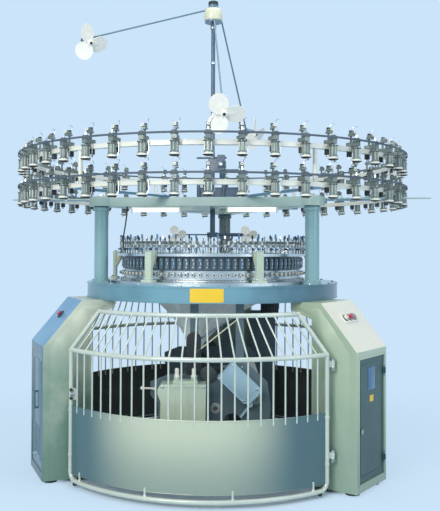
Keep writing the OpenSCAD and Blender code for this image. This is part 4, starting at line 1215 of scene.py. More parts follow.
@dataclass
class GuardDoor:
    """Weld collars, panel hems, stops and latch knobs of a guard door; its middle lies on its own X."""

    guard: Guard
    radius: float = 0.955
    side_r: float = 0.956
    half: float = 45.507
    bend: float = 2.9
    posts: tuple[float, ...] = (-39.82, -13.27, 13.27, 39.82)
    low_z: float = 0.036
    panel_low: float = 0.072
    panel_top: float = 0.430
    hem_r: float = 0.0042
    rubber: tuple[float, ...] = (0.009, 0.017)
    collars: tuple[float, ...] = (0.16, 0.40)
    hinge: tuple[float, float] = (0.965, 47.613)
    hinges: tuple[float, ...] = (0.188, 0.660)
    latch_z: float = 0.498
    latch_angle: float = -43.407

    def hem(self, shape: Shape, z: float, radius: float) -> None:
        """Rolls a hem along the panel.

        Args:
            shape: the mesh to add to.
            z, radius: the hem's height and its distance from the machine's axis.
        """
        steps = 40
        points = [ring_point(radius, -self.half + 2 * self.half * k / steps, z) for k in range(steps + 1)]
        shape.hose(points, self.hem_r, 8)

    def build(self) -> None:
        """Makes the door's trim."""
        angle, body, latched = self.guard.value
        shape = Shape(f"{body}_trim").use(PANEL)
        self.hem(shape, self.panel_top, self.radius)
        self.hem(shape, self.panel_low, self.radius)
        if not latched:
            for drop in self.rubber:
                self.hem(shape.use(BLACK), self.panel_low - drop, self.radius)
        shape.use(CHROME)
        for a in self.posts:
            shape.lathe([(0.0, 0.0), (0.011, 0.0), (0.0075, 0.008), (0.0, 0.008)],
                        at(*ring_point(self.radius, a, self.low_z + 0.010)), 12)
        for side in (-1, 1):
            for z in self.collars:
                shape.rod(0.0142, 0.016, at(*ring_point(self.side_r, side * self.half, z)), 16, soft=0.002)
        shape.use(STEEL)
        for z in self.hinges:
            for lift in (0.0, 0.036):
                shape.rod(0.0122, 0.008, at(*ring_point(*self.hinge, z + lift)), 16, soft=0.0015)
        shape.use(BLACK)
        for side in (-1, 1):
            shape.lathe([(0.0, 0.0), (0.011, 0.001), (0.0125, 0.008), (0.0125, 0.016), (0.0, 0.016)],
                        at(*ring_point(self.radius, side * (self.half - self.bend), 0.012)), 16)
        bmesh.ops.transform(shape.bm, matrix=turned(angle), verts=shape.bm.verts)
        shape.done(body, "guard_chrome")
        if latched:
            knob = Shape("front_latch_trim").use(BLACK)
            place = turned(angle + self.latch_angle) @ at(self.radius, 0, self.latch_z, ry=90)
            for side in (-1, 1):
                knob.ball(0.0095, place @ at(side * 0.022, 0, 0.0195), 14)
            knob.use(POLISH).rod(0.0065, 0.005, place @ at(z=0.0215), 6, soft=0.001)
            knob.done("front_latch", "bright_steel")


# ---- knitting head ----------------------------------------------------------------------

@dataclass
class Head:
    """Needles, cam box fittings, knobs, yarn fingers and screws of the knitting head."""

    count: int = 90
    cam_r: float = 0.550
    head_z: float = 1.092
    cam_z: float = 1.154
    sinker_z: float = 1.234
    sinker_top: float = 1.248
    post_r: float = 0.562
    post_height: float = 0.088
    needle_r: float = 0.4245
    needle_count: int = 540
    brackets: int = 6
    bracket_turn: float = 2.0
    foot_screws: tuple[float, float] = (0.620, 0.026)
    arm_screws: tuple[float, float] = (0.606, 0.012)
    ring_screws: tuple[float, int] = (0.500, 36)
    gusset: float = 0.038

    def needles(self) -> None:
        """Stands the needle hooks on the cylinder's rim."""
        shape = Shape("needles").use(POLISH)
        verts = shape.box((0.0030, 0.0014, 0.0075), at(self.needle_r, 0, self.sinker_z + 0.0155))
        shape.repeat(verts, self.needle_count)
        shape.done("rotor", "bright_steel")

    def gussets(self) -> None:
        """Adds the slanting gusset under the arm of each head bracket."""
        shape = Shape("bracket_gussets").use(CREAM)
        outline = [(0.600, 1.160), (0.600, self.sinker_top), (0.553, self.sinker_top), (0.553, 1.238),
                   (0.560, 1.232)]
        for k in range(self.brackets):
            stand = turned(360 * k / self.brackets + self.bracket_turn) @ at(0, self.gusset / 2, 0, rx=90)
            shape.plate(outline, self.gusset, stand, soft=0.002)
        shape.done("machine", "beam_paint")

    def cams(self) -> None:
        """Adds the fronts, screws and knobs of the cam boxes."""
        shape = Shape("cam_fittings")
        step = 360 / self.count
        first = turned(step / 2)
        for dark, start in ((CAM_DARK, 0), (CAM_BLUE, 1)):
            shape.use(dark)
            place = turned(step * start) @ first @ at(self.cam_r + 0.001, 0, self.cam_z + 0.040)
            verts = shape.box((0.004, 0.019, 0.050), place, soft=0.0014, steps=1)
            shape.repeat(verts, self.count // 2)
        shape.use(POLISH)
        verts = []
        for z in (0.020, 0.060):
            verts += shape.rod(0.0042, 0.004, first @ at(self.cam_r + 0.002, 0, self.cam_z + z, ry=90), 8)
        verts += shape.box((0.006, 0.005, 0.018), first @ at(self.cam_r + 0.003, 0.004, self.cam_z + 0.040),
                           soft=0.001, steps=1)
        shape.repeat(verts, self.count)
        knob = first @ at(self.cam_r + 0.004, 0, self.head_z + 0.041, ry=90)
        shape.repeat(shape.use(WHITE).rod(0.0095, 0.012, knob, 10, end=0.008), self.count)
        shape.repeat(shape.use(BLACK).rod(0.0048, 0.003, knob @ at(z=0.0115), 8), self.count)
        shape.use(STEEL)
        shape.lathe([(self.cam_r - 0.012, 0.0), (self.cam_r + 0.010, 0.0), (self.cam_r + 0.012, 0.003),
                     (self.cam_r + 0.012, 0.010), (self.cam_r + 0.008, 0.013), (self.cam_r - 0.012, 0.013),
                     (self.cam_r - 0.012, 0.0)], at(z=self.head_z), 120)
        shape.use(CAM_DARK)
        verts = shape.box((0.002, 0.0016, 0.008), first @ at(self.cam_r + 0.0115, 0, self.head_z + 0.0065))
        shape.repeat(verts, 2 * self.count)
        shape.done("machine", "cam_dark")

    def yarn_fingers(self) -> None:
        """Adds a finger with its eyelet to each yarn guide post, and the caps and blocks on the posts."""
        step = 360 / self.count
        top = self.sinker_top + self.post_height
        shape = Shape("yarn_fingers")
        shape.use(STEEL)
        route = [(self.post_r - 0.030, 0, top - 0.024), (self.post_r - 0.055, 0.002, top - 0.030),
                 (self.post_r - 0.092, 0.003, top - 0.058), (self.post_r - 0.118, 0.003, self.sinker_top + 0.008)]
        verts = shape.hose(route, 0.0022, 5)
        verts += shape.box((0.014, 0.014, 0.016), at(self.post_r, 0, top - 0.046), soft=0.0015, steps=1)
        shape.repeat(verts, self.count)
        shape.use(WHITE)
        verts = shape.lathe([(0.0022, -0.0022), (0.0060, -0.0022), (0.0068, 0.0), (0.0060, 0.0022),
                             (0.0022, 0.0022), (0.0022, -0.0022)],
                            at(self.post_r - 0.052, 0.002, top - 0.021, ry=62), 8)
        shape.repeat(verts, self.count)
        for finish, start, tall in ((BLACK, 0, 0.020), (ARM_BLUE, 1, 0.026), (POLISH, 2, 0.014)):
            turn = turned(step * start)
            shape.use(finish)
            verts = shape.rod(0.0062, tall, turn @ at(self.post_r, 0, top - 0.004), 8, end=0.0048)
            verts += shape.box((0.020, 0.008, 0.010), turn @ at(self.post_r + 0.008, 0.0, self.sinker_top + 0.026),
                               soft=0.001, steps=1)
            shape.repeat(verts, self.count // 3)
        place = turned(step * 1.5) @ at(self.post_r + 0.004, 0, self.sinker_top + 0.050)
        shape.repeat(shape.use(WHITE).rod(0.0065, 0.018, place, 8, end=0.0042), self.count // 5)
        shape.done("machine", "bright_steel")

    def screws(self) -> None:
        """Adds socket screws to the sinker ring and the brackets."""
        shape = Shape("head_screws").use(CAM_DARK)
        out, count = self.ring_screws
        shape.repeat(shape.rod(0.0062, 0.0035, at(out, 0, self.sinker_top - 0.0038), 10), count)
        shape.use(STEEL)
        turn, verts = turned(self.bracket_turn), []
        (foot, foot_y), (arm, arm_y) = self.foot_screws, self.arm_screws
        for side in (-1, 1):
            verts += shape.rod(0.0075, 0.008, turn @ at(foot, side * foot_y, self.head_z + 0.012), 6, soft=0.001)
        for side in (-1, 1):
            verts += shape.rod(0.006, 0.007, turn @ at(arm, side * arm_y, self.sinker_top + 0.012), 6, soft=0.001)
        shape.repeat(verts, self.brackets)
        shape.done("machine", "bright_steel")

    def build(self) -> None:
        """Makes the head's fittings."""
        self.needles()
        self.gussets()
        self.cams()
        self.yarn_fingers()
        self.screws()


# ---- feeder rings -----------------------------------------------------------------------

class FeederRing(Enum):
    """The two rings of storage feeders: the height of the ring's top, and the belt's body."""

    LOWER = (1.604, "lower_belt")
    UPPER = (1.792, "upper_belt")


@dataclass
class Feeders:
    """Caps, wire fingers, clamps and yarn eyes of one ring's storage feeders, and the teeth of its belt."""

    ring: FeederRing
    count: int = 45
    first: float = 4.0
    ring_r: float = 1.102
    spindle_r: float = 1.1455
    belt_r: float = 1.1665
    drum_r: float = 0.0180
    teeth: int = 360

    def eye(self, inner: float, outer: float, half: float) -> list[Point]:
        """Gives the profile of a yarn eye: two radii and half its thickness."""
        return [(inner, -half), (outer, -half), (outer, half), (inner, half), (inner, -half)]

    def tops(self, shape: Shape, z: float) -> list[Any]:
        """Adds what stands above the belt.

        Args:
            shape: the mesh to add to.
            z: height of the ring's top.
        Returns:
            The new vertices.
        """
        spindle, r = at(self.spindle_r, 0, z), self.ring_r
        verts = shape.use(BLACK).rod(0.0165, 0.005, spindle @ at(z=0.0365), 12, end=0.013)
        verts += shape.use(POLISH).rod(0.006, 0.016, spindle @ at(z=0.041), 8, end=0.004)
        verts += shape.use(ALLOY).box((0.034, 0.020, 0.014), at(r + 0.016, 0, z + 0.070), soft=0.002, steps=1)
        verts += shape.use(BLACK).box((0.012, 0.022, 0.006), at(r + 0.010, 0, z + 0.080))
        verts += shape.use(WHITE).lathe(self.eye(0.003, 0.0085, 0.0025), at(r + 0.036, 0, z + 0.072, ry=75), 8)
        verts += shape.use(STEEL).hose([(r + 0.004, 0.008, z + 0.076), (r + 0.000, 0.014, z + 0.094),
                                        (r + 0.012, 0.022, z + 0.104), (r + 0.030, 0.024, z + 0.100)], 0.0016, 4)
        return verts

    def drums(self, shape: Shape, z: float) -> list[Any]:
        """Adds the wires and flanges of the drum and what hangs below the ring.

        Args:
            shape: the mesh to add to.
            z: height of the ring's top.
        Returns:
            The new vertices.
        """
        verts, spindle, r = [], at(self.spindle_r, 0, z), self.ring_r
        shape.use(DRUM)
        for k in range(6):
            verts += shape.rod(0.0022, 0.042, spindle @ at(*ring_point(self.drum_r, 60 * k, -0.057)), 5)
        verts += shape.use(WHITE).lathe([(0.0, -0.0745), (0.0265, -0.0745), (0.0245, -0.0685),
                                         (0.0205, -0.0620), (0.0, -0.0620)], spindle, 12)
        verts += shape.use(BLACK).lathe([(0.0, -0.0825), (0.016, -0.0815), (0.0265, -0.0765),
                                         (0.0265, -0.0745), (0.0, -0.0745)], spindle, 12)
        verts += shape.rod(0.0225, 0.005, spindle @ at(z=-0.0125), 12)
        verts += shape.box((0.024, 0.018, 0.026), at(r - 0.004, 0, z - 0.037), soft=0.002, steps=1)
        verts += shape.use(STEEL).rod(0.0055, 0.012, at(r - 0.004, 0, z - 0.062), 6)
        verts += shape.hose([(r + 0.022, 0.013, z + 0.012), (r + 0.026, 0.027, z - 0.004),
                             (r + 0.030, 0.030, z - 0.050), (r + 0.036, 0.018, z - 0.084)], 0.0018, 4)
        verts += shape.use(WHITE).lathe(self.eye(0.002, 0.0062, 0.002), at(r + 0.037, 0.016, z - 0.086, ry=30), 6)
        verts += shape.use(ALLOY).box((0.026, 0.004, 0.014), at(r + 0.010, -0.016, z + 0.010, rz=18, ry=12),
                                      soft=0.001, steps=1)
        return verts

    def build(self) -> None:
        """Makes the ring's fittings."""
        z, belt = self.ring.value
        name = self.ring.name.lower()
        shape = Shape(f"{name}_feeder_fittings")
        verts = list(dict.fromkeys(self.tops(shape, z) + self.drums(shape, z)))
        bmesh.ops.rotate(shape.bm, cent=(0, 0, 0), matrix=turned(self.first).to_3x3(), verts=verts)
        shape.repeat(verts, self.count)
        shape.done("machine", "feeder_alloy")
        teeth = Shape(f"{name}_belt_teeth").use(BELT)
        verts = teeth.box((0.0016, 0.0045, 0.0096), at(self.belt_r - 0.0005, 0, z + 0.029))
        teeth.repeat(verts, self.teeth)
        teeth.done(belt, "belt_black")


# ---- beam, mast and fans ----------------------------------------------------------------

@dataclass
class Top:
    """Caps, bolts, lamps and mast fittings above the columns."""

    column_r: float = 0.702
    beam_low: float = 1.520
    beam_top: float = 1.570
    legs: tuple[float, ...] = (210.0, 330.0, 90.0)
    sides: tuple[float, ...] = (270.0, 30.0, 150.0)
    side_r: float = 0.351
    side_bolts: tuple[float, ...] = (0.20, 0.42)
    lamps_at: tuple[float, float] = (-0.285, 0.270)
    lamp_drop: float = 0.021
    tube: float = 0.262
    ribs: tuple[float, ...] = (-0.070, 0.0, 0.070, 0.140)
    lid_screws: tuple[float, ...] = (-0.075, 0.012, 0.078, 0.160)
    clamps: tuple[float, ...] = (2.10, 2.42)
    head_x: float = 0.056
    head_z: float = 1.796

    def beam(self) -> None:
        """Adds caps and bolts to the beam and collars to the columns."""
        shape = Shape("beam_trim")
        for angle in self.legs:
            place = turned(angle) @ at(self.column_r, 0, 0)
            shape.use(BEAM).lathe([(0.0, 0.0), (0.052, 0.0), (0.048, 0.008), (0.0, 0.010)],
                                  place @ at(z=self.beam_top), 32)
            shape.use(POLISH).rod(0.014, 0.012, place @ at(z=self.beam_top + 0.008), 6, soft=0.0015)
            shape.use(COLUMN).lathe([(0.040, 0.0), (0.048, 0.0), (0.048, 0.020), (0.0402, 0.026)],
                                    place @ at(z=self.beam_low - 0.026), 32)
            shape.use(STEEL)
            for k in range(6):
                shape.rod(0.006, 0.006, place @ turned(60 * k + 30) @ at(0.046, 0, 1.094), 6, soft=0.0008)
        shape.use(STEEL)
        for angle in self.sides:
            for side in (-1, 1):
                for y in self.side_bolts:
                    place = turned(angle) @ at(self.side_r, side * y, self.beam_top)
                    shape.rod(0.007, 0.006, place, 6, soft=0.001)
        shape.done("machine", "beam_paint")

    def lamps(self) -> None:
        """Adds the housings and the bright tubes of the strip lamps."""
        shape = Shape("lamp_fittings")
        for x in self.lamps_at:
            place = at(x, -self.side_r, self.beam_low - self.lamp_drop)
            shape.use(WHITE).box((0.290, 0.040, 0.009), place @ at(z=self.lamp_drop - 0.0045), soft=0.003)
            shape.use(LAMP).rod(0.0115, self.tube, place @ at(-self.tube / 2, ry=90), 20, soft=0.003)
            shape.use(WHITE)
            for side in (-1, 1):
                shape.box((0.014, 0.031, 0.030), place @ at(side * 0.139), soft=0.004)
        shape.done("machine", "lamp_white")

    def mast(self) -> None:
        """Adds ribs, clamps and the pressure pot to the drive on the hub."""
        shape = Shape("mast_fittings")
        shape.use(MAST)
        shape.box((0.250, 0.118, 0.006), at(0.048, 0, self.beam_top + 0.078), soft=0.002)
        for x in self.ribs:
            shape.box((0.006, 0.116, 0.060), at(x, 0, self.beam_top + 0.036), soft=0.002)
        shape.use(POLISH)
        for x in self.lid_screws:
            shape.rod(0.006, 0.010, at(x, -0.046, self.beam_top + 0.081), 6, soft=0.001)
        shape.use(MAST).box((0.052, 0.050, 0.050), at(self.head_x, 0.0, self.head_z), soft=0.006)
        shape.rod(0.018, 0.070, at(self.head_x + 0.004, 0, self.head_z - 0.084), 20, soft=0.004)
        shape.use(POLISH).rod(0.010, 0.006, at(self.head_x, -0.024, self.head_z, rx=90), 12, soft=0.002)
        shape.use(STEEL)
        for z in self.clamps:
            shape.rod(0.0155, 0.016, at(0, 0, z), 20, soft=0.002)
        shape.lathe([(0.0127, 0.0), (0.019, 0.0), (0.019, 0.020), (0.015, 0.026), (0.0127, 0.026)], at(z=2.640), 20)
        shape.done("machine", "boom_paint")

    def build(self) -> None:
        """Makes all of it."""
        self.beam()
        self.lamps()
        self.mast()


@dataclass
class Fan:
    """A dust fan with three round petals, which replaces the construction's plain one."""

    name: str
    body: str
    place: Matrix
    hub: float = 0.022
    reach: float = 0.062
    petal: float = 0.056
    length: float = 0.014
    pitch: float = 20.0
    insets: tuple[float, ...] = (0.25, 0.35, 0.45)
    cup: float = 0.16
    sheet: float = 0.0018

    def blade(self, shape: Shape, turn: float) -> None:
        """Adds one cupped petal with its neck.

        Args:
            shape: the mesh to add to.
            turn: its angle about the hub in degrees.
        """
        verts = bmesh.ops.create_circle(shape.bm, cap_ends=True, segments=32, radius=self.petal)["verts"]
        faces = faces_of(verts)
        for share in self.insets:
            bmesh.ops.inset_region(shape.bm, faces=faces, thickness=self.petal * share, use_even_offset=True)
        disc = linked(verts)
        for v in disc:
            v.co.z = -self.cup * self.petal * (1 - (v.co.length / self.petal) ** 2)
        made = bmesh.ops.solidify(shape.bm, geom=faces_of(disc), thickness=self.sheet)["geom"]
        spin = self.place @ turned(turn) @ at(rx=self.pitch)
        shape.keep(disc + verts_in(made), spin @ at(self.reach))
        neck = self.hub * 0.4
        shape.box((self.reach - neck, self.hub * 1.3, 0.0022), spin @ at((self.reach + neck) / 2, 0, -0.0008),
                  soft=0.0009)

    def build(self) -> None:
        """Makes the fan."""
        shape = Shape(f"{self.name}_rotor").use(PETAL)
        for k in range(3):
            self.blade(shape, 120 * k)
        h, n = self.hub, self.length
        shape.lathe([(0.0, 0.012), (h * 0.5, 0.011), (h * 0.9, 0.006), (h, -0.002), (h, -n + 0.004),
                     (0.0, -n + 0.004)], self.place, 28)
        shape.use(BLACK).lathe([(0.0, 0.0145), (h * 0.36, 0.0135), (h * 0.42, 0.0105), (0.0, 0.0105)],
                               self.place, 20)
        shape.use(STEEL).rod(0.005, n + 0.0105, self.place @ at(z=-n - 0.0115), 12)
        shape.done(self.body, "fan_white", replaces=[self.name])


@dataclass
class Fans:
    """The turning boom's fittings and all five fans."""

    turn: float = 7.0
    mast_top: float = 2.810
    collar_z: float = 2.690
    centres: tuple[Point, ...] = ((-0.760, -0.020, -0.262), (0.060, -0.660, -0.815), (0.282, 0.340, -0.770))
    tilts: tuple[Point, ...] = ((112, 40), (118, 4), (104, 62))
    inner_z: float = 1.364
    inner_reach: float = 0.218
    sleeve_r: float = 0.011

    def place(self, i: int) -> Matrix:
        """Gives the placement of an outer fan's hub, Z along its axis."""
        x, y, z = self.centres[i]
        return turned(self.turn) @ at(x, y, self.mast_top + z) @ turned(self.tilts[i][1]) @ at(rx=self.tilts[i][0])

    def boom(self) -> None:
        """Adds motor caps, glands and the head's bolts."""
        shape = Shape("boom_fittings")
        for i in range(3):
            place = self.place(i)
            shape.use(BLACK).lathe([(0.0, -0.082), (0.016, -0.081), (0.0272, -0.074), (0.0272, -0.066),
                                    (0.0, -0.066)], place, 24)
            shape.use(GREY).lathe([(0.0262, -0.030), (0.0272, -0.028), (0.0272, -0.018), (0.0225, -0.0155),
                                   (0.006, -0.0155), (0.006, -0.030)], place, 24)
            shape.use(POLISH)
            for k in range(3):
                shape.rod(0.003, 0.003, place @ turned(120 * k + 30) @ at(0.020, 0, -0.0158), 6)
        hub = turned(self.turn)
        shape.use(CREAM).lathe([(0.0, 0.0), (0.053, 0.0), (0.056, 0.006), (0.056, 0.060), (0.048, 0.072),
                                (0.0, 0.074)], hub @ at(z=self.collar_z), 32)
        shape.use(BLACK).lathe([(0.0, 0.0), (0.032, 0.0), (0.030, 0.018), (0.022, 0.024), (0.0, 0.025)],
                               hub @ at(z=self.mast_top - 0.020), 28)
        shape.use(STEEL)
        for k in range(6):
            shape.rod(0.0045, 0.006, hub @ turned(60 * k) @ at(0.040, 0, self.collar_z + 0.0735), 6, soft=0.0008)
        shape.done("fan_boom", "boom_paint")

    def sleeve(self) -> None:
        """Adds the thick sleeve over the right half of the inner arm."""
        shape = Shape("inner_arm_sleeve").use(MAST)
        ends = [turned(self.turn) @ Vector((x, 0, self.inner_z)) for x in (0.034, 0.110, self.inner_reach - 0.022)]
        shape.hose(ends, self.sleeve_r, 14)
        shape.done("inner_arm", "boom_paint")

    def build(self) -> None:
        """Makes the boom's fittings, the inner arm's sleeve and the fans."""
        self.boom()
        self.sleeve()
        for i, name in enumerate(("fan_left", "fan_front", "fan_right")):
            Fan(name, name, self.place(i)).build()
        for side, name in ((-1, "inner_fan_left"), (1, "inner_fan_right")):
            place = turned(self.turn) @ at(side * self.inner_reach, -0.028, self.inner_z, rx=90)
            Fan(name, name, place, 0.010, 0.031, 0.028, 0.010).build()


# ---- take-down and cloth ----------------------------------------------------------------

@dataclass
class TakeDown:
    """Bearings, bolts, wheels and covers of the take-down; its own Y runs along the rollers."""

    turn: float = 7.0
    plate_y: float = 0.577
    plate: float = 0.014
    roller_z: float = 0.520
    roller_x: tuple[float, float] = (-0.145, -0.075)
    bearings: tuple[Point, ...] = ((-0.145, 0.520), (-0.075, 0.520), (0.020, 0.420), (0.237, 0.470))
    flutes: int = 28
    plate_bolts: tuple[Point, Point] = ((-0.095, 0.150), (0.590, 0.640))
    wheel: Point = (-0.020, 0.600)
    tension_wheel: Point = (0.085, 0.585)
    box_front: float = 0.116
    studs: tuple[float, float] = (-0.185, -0.095)
    box_ribs: tuple[float, ...] = (-0.225, -0.190, -0.155, -0.120, -0.085)
    box_screws: tuple[Point, ...] = ((-0.258, 0.554), (-0.042, 0.554), (-0.260, 0.312), (-0.044, 0.312))
    arch_tall: float = 0.190
    arch_half: float = 0.039
    stay: tuple[Point, ...] = ((-0.085, 0.7185), (0.030, 0.811), (0.150, 0.908))

    def near(self, x: float, z: float, out: float = 0.0) -> Matrix:
        """Gives a placement on the near plate's face, Z pointing outwards."""
        return turned(self.turn) @ at(x, -self.plate_y - self.plate - out, z, rx=90)

    def far(self, x: float, z: float, out: float = 0.0) -> Matrix:
        """Gives a placement on the far plate's face, Z pointing outwards."""
        return turned(self.turn) @ at(x, self.plate_y + self.plate + out, z, rx=-90)

    def frame_fittings(self) -> None:
        """Adds bearing flanges, bolts and the roller drive."""
        shape = Shape("takedown_fittings")
        for x, z in self.bearings:
            for side in (self.near, self.far):
                shape.use(GREY).lathe([(0.0125, 0.0), (0.030, 0.0), (0.030, 0.006), (0.021, 0.010), (0.0125, 0.010),
                                       (0.0125, 0.0)], side(x, z), 24)
                shape.use(STEEL)
                for k in range(3):
                    dx, dz, _ = ring_point(0.0245, 120 * k + 30, 0)
                    shape.rod(0.0045, 0.005, side(x + dx, z + dz), 6)
        shape.use(STEEL)
        for side, flip in ((self.near, 1), (self.far, -1)):
            for x in self.plate_bolts[0]:
                for dx in (-0.012, 0.012):
                    for z in self.plate_bolts[1]:
                        shape.rod(0.0065, 0.006, side(flip * x + dx, z), 6, soft=0.001)
            shape.use(DARK_CAST).rod(0.046, 0.010, side(*self.wheel, 0.001), 30, soft=0.002)
            shape.use(STEEL).rod(0.030, 0.016, side(*self.tension_wheel, 0.001), 24, soft=0.002)
        shape.use(RUBBER)
        shape.box((0.120, 0.010, 0.004), self.near(0.032, 0.637, 0.008) @ at(rz=-10))
        shape.done("rotor", "frame_paint")

    def covers(self) -> None:
        """Adds the cover screws, ribs and white studs of the gearbox and the slanting guard's screws."""
        shape, front = Shape("takedown_cover_trim"), self.box_front
        shape.use(COVER)
        for x in self.box_ribs:
            shape.box((0.004, 0.200, 0.003), self.near(x, 0.420, front), soft=0.0012, steps=1)
        shape.box((0.232, 0.012, 0.004), self.near(-0.150, 0.556, front), soft=0.0015)
        shape.use(POLISH)
        for x, z in self.box_screws:
            shape.rod(0.0068, 0.005, self.near(x, z, front), 12, soft=0.0012)
        shape.use(IVORY)
        for x in self.studs:
            shape.lathe([(0.0102, 0.0), (0.0165, 0.0), (0.0128, 0.010), (0.0112, 0.015), (0.0112, 0.040),
                         (0.008, 0.045), (0.0, 0.046)], self.near(x, 0.598, 0.060) @ at(rx=-90), 20)
        half, tall = self.arch_half, self.arch_tall
        arch = [(p.x, p.y + tall) for p in (ring_point(half, 15 * k, 0) for k in range(13))]
        shape.use(BLACK).plate([(-half, 0.0), (half, 0.0), *arch], 0.006, self.near(-0.0975, 0.600, 0.0005),
                               soft=0.0015)
        stay = [self.near(x, z, 0.003).translation for x, z in self.stay]
        shape.use(CREAM).hose(stay, 0.0036, 8)
        slant = self.near(0.150, 0.556) @ at(rz=-44)
        shape.use(PALE_BLUE)
        shape.box((0.180, 0.090, 0.0035), slant @ at(-0.008, 0.002, 0.0645), soft=0.0015)
        shape.use(POLISH)
        for x, y in ((-0.098, -0.045), (-0.098, 0.048), (0.072, -0.045), (0.082, 0.048)):
            shape.rod(0.0055, 0.004, slant @ at(x, y, 0.0635), 12, soft=0.001)
        shape.done("rotor", "cover_paint")

    def rollers(self) -> None:
        """Cuts lengthwise flutes on the two draw rollers and adds their end rings."""
        for name, x in zip(("draw_roller_left", "draw_roller_right"), self.roller_x):
            shape = Shape(f"{name}_flutes").use(RUBBER)
            for k in range(self.flutes):
                place = turned(self.turn) @ at(x, 0, self.roller_z, ry=360 / self.flutes * k) @ at(0.0336)
                shape.box((0.0020, 1.132, 0.0034), place)
            shape.use(STEEL)
            for side in (-1, 1):
                shape.lathe([(0.012, 0.0), (0.030, 0.0), (0.030, 0.0012), (0.012, 0.0012), (0.012, 0.0)],
                            turned(self.turn) @ at(x, side * 0.5705, self.roller_z, rx=-90 * side), 24)
            shape.done(name, "roller_rubber")

    def build(self) -> None:
        """Makes the take-down's fittings."""
        self.frame_fittings()
        self.covers()
        self.rollers()


